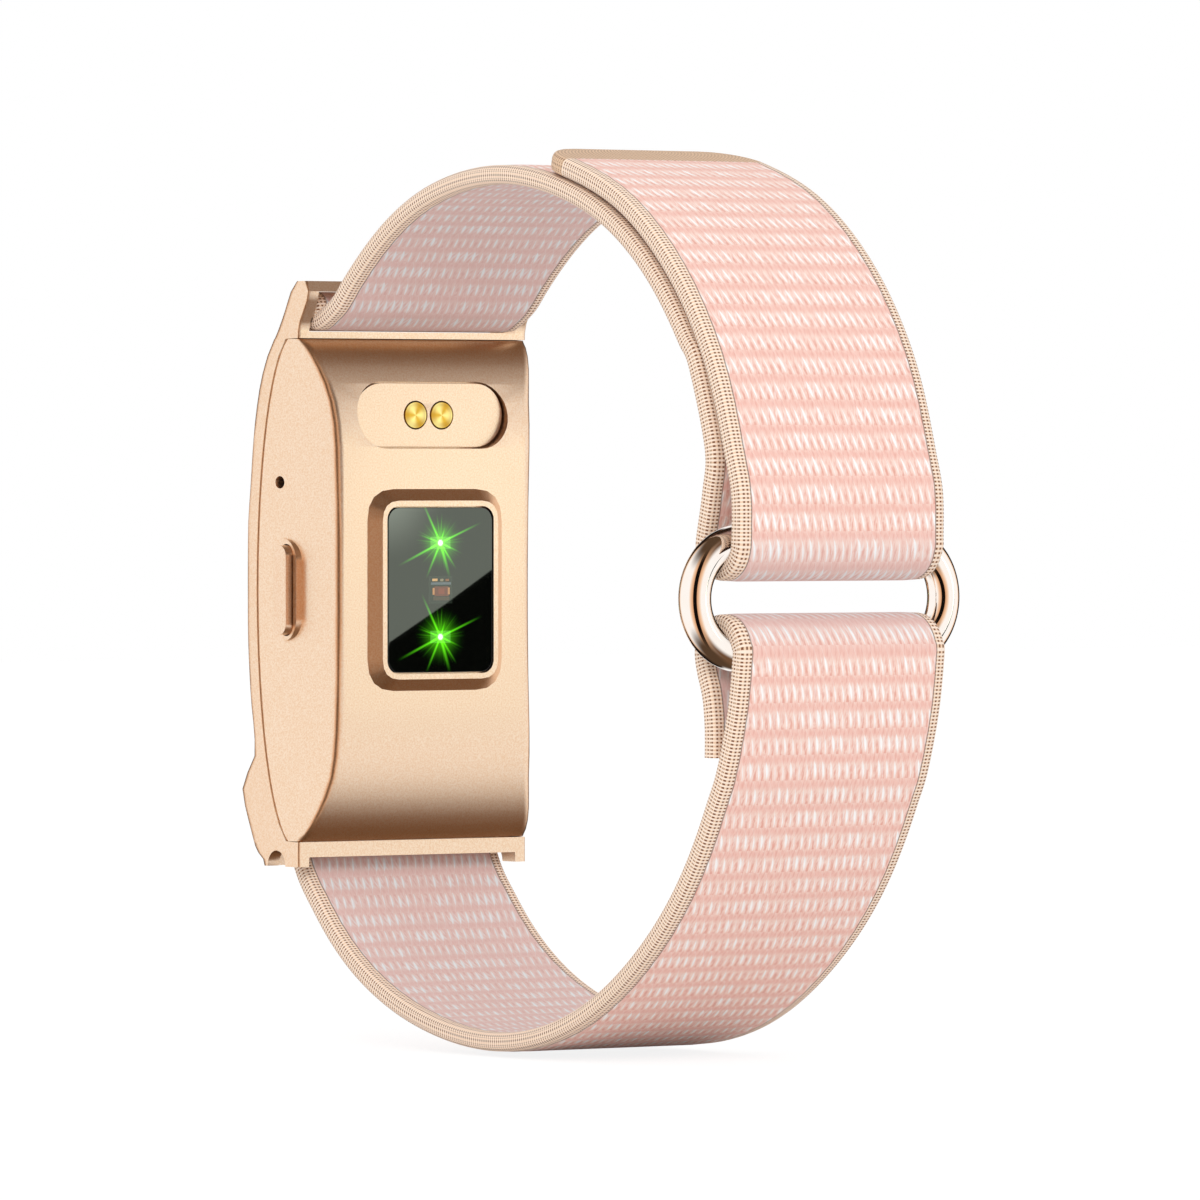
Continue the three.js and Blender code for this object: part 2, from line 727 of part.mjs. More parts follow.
// Spring bars: a tube through the strap's loop, and a tip in each arm of the lug
function pinTube(x, z) {
  const end = slotHalfWidth - fitGap;
  return cut(rod(pinRadius, 'y', -end, end, -x, z, smallRoundSteps),
    rod(pinRadius - pinWall, 'y', -end - overrun, end + overrun, -x, z, smallRoundSteps));
}

function pinTip(x, z, side) {
  const inner = slotHalfWidth - fitGap - pinTipDepth;
  const outer = slotHalfWidth + pinTipReach;
  const ends = side > 0 ? [inner, outer] : [-outer, -inner];
  return rod(pinTipRadius, 'y', ...ends, -x, z, smallRoundSteps);
}

// A round tube along the closed path of the ring: two straight bars and two half-round ends
function ringTube(radius) {
  const halfBar = ringBarLength / 2;
  const endRadius = ringBarSpacing / 2;
  const stations = [-1, 1].flatMap((side) => evenly(-Math.PI / 2, Math.PI / 2, ringEndSteps).map(
    (angle) => ({ side, turn: side > 0 ? angle : angle + Math.PI })));
  const points = stations.flatMap(({ side, turn }) => {
    const out = new THREE.Vector3(0, Math.cos(turn), Math.sin(turn));
    const centre = out.clone().multiplyScalar(endRadius).add(
      new THREE.Vector3(0, side * halfBar, 0));
    return evenly(0, 2 * Math.PI, tubeSides).slice(0, -1).map((angle) => centre.clone()
      .addScaledVector(out, radius * Math.cos(angle))
      .addScaledVector(new THREE.Vector3(1, 0, 0), radius * Math.sin(angle)));
  });
  const faces = [];
  const count = stations.length;
  for (let i = 0; i < count; i += 1) {
    for (let j = 0; j < tubeSides; j += 1) {
      const a = i * tubeSides + j;
      const b = i * tubeSides + ((j + 1) % tubeSides);
      const c = ((i + 1) % count) * tubeSides + ((j + 1) % tubeSides);
      const d = ((i + 1) % count) * tubeSides + j;
      faces.push(a, c, b, a, d, c);
    }
  }
  const geometry = new THREE.BufferGeometry().setFromPoints(points);
  geometry.setIndex(faces);
  return solid(geometry);
}

// Strap routes in the (x, z) plane. Between a pin and the crown of the loop, shares of the way
// from the crown to the pin, and of the rise from the pin to the crown
const upperPinSideShares = [
  [0.8649, 0.0476], [0.7369, 0.3511], [0.5668, 0.6395], [0.4304, 0.7867], [0.1984, 0.9069],
];
const lowerPinSideShares = [
  [0.9491, 0.1911], [0.7985, 0.555], [0.533, 0.8609], [0.2105, 1.0139],
];

// Between the crown and the ring, shares of the loop's half depth and half height
const upperRunShares = [[0, 0.972], [0.233, 0.932], [0.442, 0.86], [0.658, 0.714], [0.814, 0.529]];
const upperEndShares = [[0.884, 0.346], [0.874, 0.249]];
const tabStartShares = [[0.998, 0.246]];
const lowerRunShares = [
  [0, -1.01], [0.206, -0.973], [0.36, -0.923], [0.611, -0.775], [0.804, -0.594], [0.937, -0.3686],
];
const lowerEndShares = [[0.983, -0.237]];
const flapRouteShares = [[0.8505, -0.1486], [0.874, -0.206], [0.884, -0.274], [0.884, -0.34]];

// The tab lies a strap's thickness above these shares, as the upper strap is under it
const tabRunShares = [
  [0.968, 0.2941], [0.899, 0.4711], [0.769, 0.6481],
  [0.61, 0.7841], [0.4435, 0.8757], [0.2326, 0.9385], [0.113, 0.9614],
];

function routePoints(shares, lift = 0) {
  return shares.map(([x, z]) => new THREE.Vector2(x * loopHalfDepth, z * loopHalfHeight + lift));
}

function pinSidePoints(shares, pin, crownRise) {
  return shares.map(([x, z]) => new THREE.Vector2(x * pin.x, pin.y + z * (crownRise - pin.y)));
}

// A run of webbing bends evenly: each point is drawn towards its neighbours' middle, and the
// ends stay where they are
function easedRun(points) {
  let run = new THREE.SplineCurve(points).getSpacedPoints(easeSteps);
  for (let round = 0; round < easeRounds; round += 1) {
    run = run.map((point, i) => {
      if (i === 0 || i === easeSteps) return point;
      const middle = run[i - 1].clone().add(run[i + 1]).divideScalar(2);
      return point.clone().lerp(middle, easeShare);
    });
  }
  return run;
}

function foldPoints(radius, barRise, fromAngle, toAngle) {
  return evenly(fromAngle, toAngle, foldSteps).map((angle) => new THREE.Vector2(
    ringDistance + radius * Math.cos(angle), barRise + radius * Math.sin(angle)));
}

const upperPin = new THREE.Vector2(-skinDistance - upperPinX, trackerRise + upperPinRise);
const lowerPin = new THREE.Vector2(-skinDistance - lowerPinX, trackerRise - lowerPinDrop);

const upperStart = new THREE.Vector2(upperPin.x, upperPin.y - loopRadius + strapThickness / 2);
const upperRoute = new THREE.SplineCurve([
  upperStart,
  upperStart.clone().add(new THREE.Vector2(strapThickness, 0)),
  ...easedRun([
    ...pinSidePoints(upperPinSideShares, upperPin, loopHalfHeight),
    ...routePoints(upperRunShares),
  ]),
  ...routePoints(upperEndShares),
  ...foldPoints(upperFoldRadius, upperBarRise, Math.PI, 2 * Math.PI),
]);
const tabStart = new THREE.Vector2(ringDistance + upperFoldRadius, upperBarRise + tabHingeGap);
const tabRoute = new THREE.SplineCurve([
  tabStart,
  ...routePoints(tabStartShares),
  ...easedRun(routePoints(tabRunShares, strapThickness)),
]);
const lowerRoute = new THREE.SplineCurve([
  lowerPin,
  ...easedRun([
    ...pinSidePoints(lowerPinSideShares, lowerPin, -loopHalfHeight),
    ...routePoints(lowerRunShares),
  ]),
  ...routePoints(lowerEndShares),
  ...foldPoints(lowerFoldRadius, lowerBarRise, 0, Math.PI),
  ...routePoints(flapRouteShares),
]);

// A band along a route from one share of its length to another. It lies between two offsets
// from the middle of the webbing, which are positive to the left of the route.
function band(route, from, to, low, high, width, steps) {
  const sides = [high, low].map((offset) => evenly(from, to, steps).map((share) => {
    const tangent = route.getTangentAt(share);
    return route.getPointAt(share).add(new THREE.Vector2(-tangent.y, tangent.x)
      .multiplyScalar(offset));
  }));
  return prism(new THREE.Shape([...sides[0], ...sides[1].reverse()]), 'y', -width / 2, width / 2);
}

const halfThickness = strapThickness / 2;

function pinLoop(pin) {
  return rod(loopRadius, 'y', -strapWidth / 2, strapWidth / 2, pin.x, pin.y);
}

function pinBore(pin) {
  return rod(pinRadius + slimGap, 'y', -strapWidth, strapWidth, pin.x, pin.y);
}

function placedRingTube(radius) {
  return ringTube(radius).translate([ringDistance, 0, ringRise]);
}

function strapWithLoop(route, pin, ringClearance) {
  const webbing = band(route, 0, 1, -halfThickness, halfThickness, strapWidth, strapSteps);
  return cut(join(webbing, pinLoop(pin)), pinBore(pin),
    placedRingTube(ringTubeRadius + ringClearance));
}

const tabLength = tabRoute.getLength();
const tabEnd = 1 - tipLength / tabLength;
const patchEnd = tabEnd - patchTipMargin / tabLength;
const patchStart = patchEnd - patchLength / tabLength;

function tabPlan() {
  const endX = tabRoute.getPointAt(1).x - slimGap;
  const outline = roundedOutline(4 * loopHalfDepth, strapWidth, tipCornerRadius,
    endX + 2 * loopHalfDepth);
  return prism(outline, 'z', 0, 2 * loopHalfHeight);
}

function closureTab() {
  const webbing = band(tabRoute, 0, tabEnd, -halfThickness, halfThickness, strapWidth,
    strapSteps / 2);
  const inset = band(tabRoute, patchStart - slimGap / tabLength, patchEnd + slimGap / tabLength,
    halfThickness - patchInset, halfThickness + slimGap, patchWidth + 2 * slimGap,
    strapSteps / 2);
  return cut(webbing, inset).intersect(tabPlan());
}

function tabTip() {
  return band(tabRoute, tabEnd + slimGap / tabLength, 1, -halfThickness, halfThickness,
    strapWidth, tipSteps).intersect(tabPlan());
}

function hookPatch() {
  return band(tabRoute, patchStart, patchEnd, halfThickness - patchThickness, halfThickness,
    patchWidth, strapSteps / 2);
}

// The scene graph: a group for each carrier, with its pieces in the carrier's own frame
function groupAt(x, y, z) {
  const group = new THREE.Group();
  group.position.set(x, y, z);
  return group;
}

function addPiece(group, name, body, finish) {
  const [color, roughness, metalness] = finishes[finish];
  const material = new THREE.MeshStandardMaterial({ color, roughness, metalness });
  const mesh = new THREE.Mesh(geometryOf(body), material);
  mesh.name = name;
  group.add(mesh);
}

const bandGroup = new THREE.Group();
const tracker = groupAt(-skinDistance, 0, trackerRise);
const button = new THREE.Group();
const closingRing = groupAt(ringDistance, 0, ringRise);
const strap = new THREE.Group();
tracker.add(button);
bandGroup.add(tracker, closingRing, strap);

addPiece(tracker, 'carrier_frame', carrierFrame(), 'metal');
addPiece(tracker, 'back_case', backCase(), 'metal');
addPiece(tracker, 'front_glass', frontGlass(), 'glass');
addPiece(tracker, 'glass_gasket', glassGasket(), 'rubber');
addPiece(tracker, 'display_panel', displayPanel(), 'display');
addPiece(tracker, 'display_flex', displayFlex(), 'tip');
addPiece(tracker, 'chassis', chassis(), 'plastic');
addPiece(tracker, 'battery', battery(), 'battery');
addPiece(tracker, 'main_board', mainBoard(), 'board');
addPiece(tracker, 'shield_can', shieldCan(), 'steel');
addPiece(tracker, 'board_screw_left', boardScrew(-screwSpread), 'steel');
addPiece(tracker, 'board_screw_right', boardScrew(screwSpread), 'steel');
addPiece(tracker, 'vibration_motor', vibrationMotor(), 'steel');
addPiece(tracker, 'sensor_board', sensorBoard(), 'board');
addPiece(tracker, 'led_upper', sensorChip(ledWidth, ledHeight, ledThickness, ledOffset), 'led');
addPiece(tracker, 'led_lower', sensorChip(ledWidth, ledHeight, ledThickness, -ledOffset), 'led');
addPiece(tracker, 'photodiode', sensorChip(diodeWidth, diodeHeight, diodeThickness, 0), 'plastic');
addPiece(tracker, 'light_wall', lightWall(), 'rubber');
addPiece(tracker, 'sensor_window', sensorWindow(), 'glass');
addPiece(tracker, 'charging_plate', chargingPlate(), 'metal');
addPiece(tracker, 'contact_left', chargingContact(contactYs[0]), 'gold');
addPiece(tracker, 'contact_right', chargingContact(contactYs[1]), 'gold');
addPiece(tracker, 'button_switch', buttonSwitch(), 'plastic');
addPiece(tracker, 'switch_flex', switchFlex(), 'tip');
addPiece(tracker, 'vent_membrane', ventMembrane(), 'rubber');
[['upper', upperPinX, upperPinRise], ['lower', lowerPinX, -lowerPinDrop]].forEach(
  ([end, x, z]) => {
    addPiece(tracker, `${end}_pin_tube`, pinTube(x, z), 'steel');
    addPiece(tracker, `${end}_pin_tip_left`, pinTip(x, z, -1), 'steel');
    addPiece(tracker, `${end}_pin_tip_right`, pinTip(x, z, 1), 'steel');
  });
addPiece(button, 'side_button', sideButton(), 'metal');
addPiece(button, 'button_seal', buttonSeal(), 'rubber');
addPiece(closingRing, 'closing_ring', ringTube(ringTubeRadius), 'polished');
addPiece(strap, 'upper_strap', strapWithLoop(upperRoute, upperPin, upperRingClearance),
  'webbing');
addPiece(strap, 'closure_tab', closureTab(), 'webbing');
addPiece(strap, 'tab_tip', tabTip(), 'tip');
addPiece(strap, 'hook_patch', hookPatch(), 'hook');
addPiece(strap, 'lower_strap', strapWithLoop(lowerRoute, lowerPin, lowerRingClearance),
  'webbing');

export default bandGroup;
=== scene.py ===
import math

import bpy
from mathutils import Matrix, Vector


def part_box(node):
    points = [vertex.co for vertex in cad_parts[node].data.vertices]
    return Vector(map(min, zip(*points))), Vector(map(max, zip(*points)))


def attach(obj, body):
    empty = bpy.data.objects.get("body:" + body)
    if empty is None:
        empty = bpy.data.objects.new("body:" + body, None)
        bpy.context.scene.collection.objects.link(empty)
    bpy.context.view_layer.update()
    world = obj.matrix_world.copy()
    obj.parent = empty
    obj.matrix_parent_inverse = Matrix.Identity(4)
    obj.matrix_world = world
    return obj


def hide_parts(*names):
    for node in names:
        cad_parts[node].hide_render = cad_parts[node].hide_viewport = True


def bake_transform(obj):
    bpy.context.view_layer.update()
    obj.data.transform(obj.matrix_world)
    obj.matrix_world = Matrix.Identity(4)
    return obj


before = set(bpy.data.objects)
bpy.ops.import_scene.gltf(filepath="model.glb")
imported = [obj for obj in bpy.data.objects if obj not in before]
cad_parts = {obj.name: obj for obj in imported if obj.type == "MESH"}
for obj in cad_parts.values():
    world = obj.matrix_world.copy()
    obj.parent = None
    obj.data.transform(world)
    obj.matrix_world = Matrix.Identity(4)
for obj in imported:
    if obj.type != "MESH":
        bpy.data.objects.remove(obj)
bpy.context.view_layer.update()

MM = 0.001


# ---- sizes of the band, in mm

STRAP_HALF_WIDTH = 10.0
STRAP_HALF_THICKNESS = 0.75
SELVEDGE_ROUND = 0.5
# A thin band's edges are rounded by no more than this share of its half thickness.
MOST_ROUND = 0.8
# How far apart the cross-sections of a band lie.
STRAP_STATION = 0.26
TIP_STATION = 0.15
PATCH_STATION = 0.4
# Where the tab's webbing goes on from the upper strap's, the two overlap, and the tab's lies just
# outside.
FOLD_OVERLAP = 0.6
OVERLAP_STEP = 0.015
MERGE_DISTANCE = 0.001
ROUND_VERTICES = 48

RIB_PITCH = 2.05
RIB_RELIEF = 0.07
RIB_PHASE = 0.36
RIB_EASE = 0.4
BORDER_WIDTH = 1.05
# Real threads lie about 0.2 mm apart, too fine to show. A float is drawn as a bundle of them, and
# the small floats, ticks and dots are spread until they show.
FLOAT_PITCH = 0.78
SMALL_FLOAT_PITCH = 0.41
TICK_PITCH = 0.42
TABBY_PITCH = 0.29
TABBY_SPREAD = 0.36
# Shares of a row or of a thread.
ROW_OFFSET = 0.37
FLOAT_MIDDLE = 0.27
FLOAT_HALF_LENGTH = 0.36
GROOVE_SHIFT = 0.16
# The size of a streak of one thread, across and along.
STREAK = (0.14, 0.6)
# Blasting leaves marks of about 0.05 mm, too fine to show, so they are drawn this coarse.
BLASTING_GRAIN = 0.13

LOOP_HALF_DEPTH = 30.125
LOOP_HALF_HEIGHT = 35.0
# The straight run of the upper strap from its pin loop, and the pin loops' radius, in mm.
PIN_RUN = 1.5
PIN_LOOP_RADIUS = 1.45
PIN_LOOP_PLUMP = 0.145
UPPER_PIN = (-28.7, 23.35)
LOWER_PIN = (-31.2, -19.9)

RING_X = 27.8
RING_RISE = 0.45
RING_TUBE = 1.275
RING_END_RADIUS = 4.45
RING_STRETCH = 7.65
UPPER_FOLD_RADIUS = 2.325
LOWER_FOLD_RADIUS = 2.475
UPPER_BAR = (27.8, 4.9)
LOWER_BAR = (27.8, -4.0)

TIP_LENGTH = 3.9
TIP_CORNER = 3.6
PATCH_HALF_WIDTH = 8.0
PATCH_LENGTH = 24.0
PATCH_MARGIN = 2.5
PATCH_HEIGHT = 0.3
PATCH_SINK = 0.02

SENSOR_MIDDLE = 0.6
LED_OFFSET = 3.85
CONTACT_RISE = 14.9
CONTACT_OFFSET = 1.3


# ---- colours

def colour(code):
    """An sRGB hex colour as linear values."""
    values = [int(code[i:i + 2], 16) / 255 for i in (1, 3, 5)]
    linear = [v / 12.92 if v <= 0.04045 else ((v + 0.055) / 1.055) ** 2.4 for v in values]
    return (*linear, 1.0)


# ---- material nodes

# The setting that a node's mode, the second word of its kind, stands for.
MODES = {
    "Math": "operation", "VectorMath": "operation", "Mix": "data_type",
    "MapRange": "interpolation_type", "TexNoise": "noise_dimensions",
    "TexWhiteNoise": "noise_dimensions",
}


def feed(tree, made, inputs):
    """Links or fills a node's inputs, by name or in the order of those in use. A node stands for
    its first output in use."""
    if not isinstance(inputs, dict):
        inputs = dict(zip((i for i, socket in enumerate(made.inputs) if socket.enabled), inputs))
    for key, value in inputs.items():
        if isinstance(value, bpy.types.Node):
            value = next(socket for socket in value.outputs if socket.enabled)
        if isinstance(value, bpy.types.NodeSocket):
            tree.links.new(value, made.inputs[key])
        else:
            made.inputs[key].default_value = value


def add(tree, kind, *inputs, **settings):
    """Adds a node, such as "Math ADD", with its settings and links. Inputs by name come as one
    dictionary."""
    kind, *mode = kind.split()
    made = tree.nodes.new("ShaderNode" + kind)
    if mode:
        settings[MODES[kind]] = mode[0]
    for name, value in settings.items():
        setattr(made, name, value)
    feed(tree, made, inputs[0] if inputs and isinstance(inputs[0], dict) else inputs)
    return made


def new_material(name, slot, **shader_values):
    """A material with its node tree, its Principled shader and the place on the object."""
    made = bpy.data.materials.new(name)
    made.use_nodes = True
    tree = made.node_tree
    shader = tree.nodes["Principled BSDF"]
    for key, value in shader_values.items():
        shader.inputs[key.replace("_", " ")].default_value = value
    made["slot"] = slot
    return made, tree, shader, add(tree, "TexCoord").outputs["Object"]


def layered(tree, tone, *layers):
    """Colours laid over a tone. Each layer has a mark, how strong it is, and its colour."""
    for mark, strength, code in layers:
        share = add(tree, "Math MULTIPLY", mark, strength)
        tone = add(tree, "Mix RGBA", share, tone, colour(code))
    return tone


def blasted_case():
    """Aluminium, bead-blasted and then anodised champagne gold: an even satin sheen with a fine
    sparkling grain."""
    made, tree, shader, where = new_material(
        "bead_blasted_anodised_aluminium", "case_metal", Metallic=1.0, Roughness=0.36
    )
    grain = add(tree, "TexNoise", where, 1 / (BLASTING_GRAIN * MM), 2.0, 0.6)
    cloud = add(tree, "TexNoise", where, 1 / (2.4 * MM), 2.0)
    sparkle = add(tree, "MapRange SMOOTHSTEP", grain, 0.3, 0.7)
    tone = add(tree, "Mix RGBA", sparkle, colour("#F4D0AD"), colour("#FFE7CF"))
    tone = layered(tree, tone, (cloud, 0.12, "#F3CCA6"))
    rough = add(tree, "Math MULTIPLY_ADD", grain, 0.1, 0.27)
    feed(tree, shader, {
        "Base Color": tone,
        "Roughness": rough,
        "Normal": add(tree, "Bump", {"Height": grain, "Strength": 0.5, "Distance": 0.003 * MM}),
    })
    return made


def polished_ring():
    """Zinc, polished and plated rose gold: a mirror with very fine buffing marks."""
    made, tree, shader, where = new_material(
        "polished_rose_gold_plate", "ring_metal", Metallic=1.0, Roughness=0.05
    )
    swirl = add(tree, "TexNoise", where, 1 / (0.9 * MM), 3.0)
    tone = add(tree, "Mix RGBA", swirl, colour("#FFF2E7"), colour("#FFFAF4"))
    rough = add(tree, "Math MULTIPLY_ADD", swirl, 0.03, 0.03)
    feed(tree, shader, {"Base Color": tone, "Roughness": rough})
    return made


def back_place(tree, where, middle):
    """Places across and up the back of the pod, in mm, from a middle at that height."""
    axes = add(tree, "SeparateXYZ", where)
    rise = add(tree, "Math SUBTRACT", add(tree, "Math DIVIDE", axes.outputs["Z"], MM), middle)
    return add(tree, "Math DIVIDE", axes.outputs["Y"], MM), rise


def from_nearer(tree, value, offset):
    """How far a value lies from the nearer of two places, that far to either side of zero."""
    nearer = add(tree, "Math MULTIPLY", add(tree, "Math SIGN", value), offset)
    return add(tree, "Math SUBTRACT", value, nearer)


def patch(tree, across, rise, middle, half):
    """1 inside a rectangle of the window, in mm, and 0 outside it."""
    sides = []
    for value, centre, reach in ((across, middle[0], half[0]), (rise, middle[1], half[1])):
        away = add(tree, "Math ABSOLUTE", add(tree, "Math SUBTRACT", value, centre))
        sides.append(add(tree, "Math LESS_THAN", away, reach))
    return add(tree, "Math MULTIPLY", *sides)


def light_ray(tree, across, rise, degrees, length, width):
    """A thin ray of light that fades along its length."""
    turn = math.radians(degrees)
    along = add(
        tree, "Math ADD",
        add(tree, "Math MULTIPLY", across, math.cos(turn)),
        add(tree, "Math MULTIPLY", rise, math.sin(turn)),
    )
    aside = add(
        tree, "Math ABSOLUTE",
        add(
            tree, "Math SUBTRACT",
            add(tree, "Math MULTIPLY", rise, math.cos(turn)),
            add(tree, "Math MULTIPLY", across, math.sin(turn)),
        ),
    )
    fade = add(tree, "MapRange SMOOTHSTEP", along, length, 0.0)
    ahead = add(tree, "MapRange SMOOTHSTEP", along, -0.1, 0.1)
    thin = add(tree, "MapRange SMOOTHSTEP", aside, width, 0.0)
    return add(tree, "Math MULTIPLY", add(tree, "Math MULTIPLY", fade, ahead), thin)


# The light sensor behind the window: each patch's middle and half size in mm, and its colour.
CHIP_PATCHES = (
    ((0.0, 0.0), (1.18, 1.12), "#232B24"),
    ((0.0, 0.0), (1.02, 1.0), "#1B221D"),
    ((0.05, 0.52), (1.0, 0.1), "#5E6A70"),
    ((-0.55, 0.82), (0.26, 0.1), "#D9AE72"),
    ((0.14, 0.8), (0.16, 0.1), "#8C8468"),
    ((0.68, 0.8), (0.18, 0.09), "#8A5D3E"),
    ((0.1, -0.12), (0.72, 0.4), "#6E3B2D"),
    ((0.1, -0.12), (0.3, 0.24), "#83402F"),
    ((-0.68, -0.12), (0.1, 0.28), "#C08A58"),
    ((0.84, -0.1), (0.1, 0.28), "#C08A58"),
    ((0.1, -0.72), (0.8, 0.14), "#4A3B2E"),
)
# The rays round each green light: degrees, and length and width in mm.
LIGHT_RAYS = (
    (118, 4.2, 0.16), (22, 4.6, 0.14), (204, 4.8, 0.16), (244, 3.4, 0.15), (288, 3.2, 0.22),
    (306, 2.8, 0.14), (338, 2.2, 0.12), (70, 1.6, 0.12), (162, 2.4, 0.1),
)


def sensor_glass():
    """Mineral glass, printed black from behind and polished: a mirror-smooth dark face, with two
    lit green lights and a light sensor behind it."""
    made, tree, shader, where = new_material(
        "black_backed_mineral_glass", "cover_glass", Roughness=0.012, IOR=1.5
    )
    print_grain = add(tree, "TexNoise", where, 1 / (0.3 * MM))
    across, rise = back_place(tree, where, SENSOR_MIDDLE)
    led_rise = from_nearer(tree, rise, LED_OFFSET)
    distance = add(
        tree, "Math SQRT",
        add(
            tree, "Math ADD",
            add(tree, "Math MULTIPLY", across, across),
            add(tree, "Math MULTIPLY", led_rise, led_rise),
        ),
    )
    tone = add(tree, "Mix RGBA", print_grain, colour("#040504"), colour("#0A0C09"))
    for middle, half, code in CHIP_PATCHES:
        tone = add(tree, "Mix RGBA", patch(tree, across, rise, middle, half), tone, colour(code))
    lamp_body = patch(tree, across, led_rise, (0.0, 0.0), (1.0, 0.5))
    tone = add(tree, "Mix RGBA", lamp_body, tone, colour("#49703C"))

    turn = add(tree, "Math ARCTAN2", led_rise, across)
    fine_rays = add(tree, "TexNoise 1D", turn, 9.0, 2.0)
    fan = add(
        tree, "Math MULTIPLY",
        add(tree, "MapRange SMOOTHSTEP", fine_rays, 0.5, 0.75),
        add(tree, "MapRange SMOOTHSTEP", distance, 2.6, 0.2),
    )
    glow = add(tree, "Math MULTIPLY", fan, 0.4)
    for degrees, length, width in LIGHT_RAYS:
        ray = light_ray(tree, across, led_rise, degrees, length, width)
        glow = add(tree, "Math MAXIMUM", glow, ray)
    halo = add(tree, "Math POWER", add(tree, "MapRange SMOOTHSTEP", distance, 3.0, 0.0), 3.0)
    core = add(tree, "MapRange SMOOTHSTEP", distance, 0.34, 0.08)
    glow = add(tree, "Math ADD", glow, add(tree, "Math MULTIPLY", halo, 0.6))
    glow = add(tree, "Math ADD", glow, add(tree, "Math MULTIPLY", lamp_body, 0.07))
    light = add(tree, "Mix RGBA", core, colour("#66F51C"), colour("#FFFFFF"))
    glow = add(tree, "Math MAXIMUM", glow, add(tree, "Math MULTIPLY", core, 1.3))
    feed(tree, shader, {"Base Color": tone, "Emission Color": light, "Emission Strength": glow})
    return made


def smoked_glass():
    """Cover glass, tempered and polished, dark from the unlit display behind it."""
    made, tree, shader, where = new_material(
        "tempered_cover_glass", "cover_glass", Roughness=0.04, IOR=1.52
    )
    film = add(tree, "TexNoise", where, 1 / (1.2 * MM))
    tone = add(tree, "Mix RGBA", film, colour("#0E0F12"), colour("#17181C"))
    feed(tree, shader, {"Base Color": tone})
    return made


def spun_gold():
    """Gold plate on turned brass: the bright cones of its turning marks are painted highlights."""
    made, tree, shader, where = new_material(
        "gold_plated_turned_brass", "contact_gold", Metallic=1.0, Roughness=0.28, Anisotropic=0.6
    )
    side, rise = back_place(tree, where, CONTACT_RISE)
    turn = add(tree, "Math ARCTAN2", rise, from_nearer(tree, side, CONTACT_OFFSET))
    # Painted highlight: bright and shaded sectors, three to a turn round each contact's middle.
    painted_sheen_and_marks = add(
        tree, "Math MULTIPLY_ADD",
        add(tree, "Math COSINE", add(tree, "Math MULTIPLY", turn, 3.0)),
        0.5,
        0.5,
    )
    marks = add(tree, "TexNoise", where, 1 / (0.05 * MM), 2.0)
    painted_sheen_and_marks = add(tree, "Math ADD", painted_sheen_and_marks, add(tree, "Math MULTIPLY_ADD", marks, 0.16, -0.08))
    # The colour runs from the shaded gold to the painted highlight with the cones and turning
    # marks.
    tone = add(tree, "Mix RGBA", painted_sheen_and_marks, colour("#DBA93C"), colour("#FFEA94"))
    tangent = add(tree, "Tangent", direction_type="RADIAL", axis="X")
    feed(tree, shader, {"Base Color": tone, "Tangent": tangent})
    return made


def centred(tree, value, pitch):
    """How far a value lies from the middle of its thread, as a share of the thread pitch."""
    share = add(tree, "Math FRACT", add(tree, "Math DIVIDE", value, pitch))
    return add(tree, "Math ABSOLUTE", add(tree, "Math SUBTRACT", share, 0.5))


def dotted_tabby(tree, along, across, ground, lines, dots):
    """A fine tabby: brown dots on pale ground, with tan weft between them."""
    dot_along = centred(tree, along, TABBY_PITCH)
    dot_across = centred(tree, across, TABBY_SPREAD)
    weft = add(tree, "MapRange SMOOTHSTEP", dot_along, 0.4, 0.1)
    cloth = add(tree, "Mix RGBA", weft, colour(ground), colour(lines))
    dot = add(
        tree, "MapRange SMOOTHSTEP", add(tree, "Math MAXIMUM", dot_along, dot_across), 0.3, 0.14
    )
    return add(tree, "Mix RGBA", dot, cloth, colour(dots)), dot


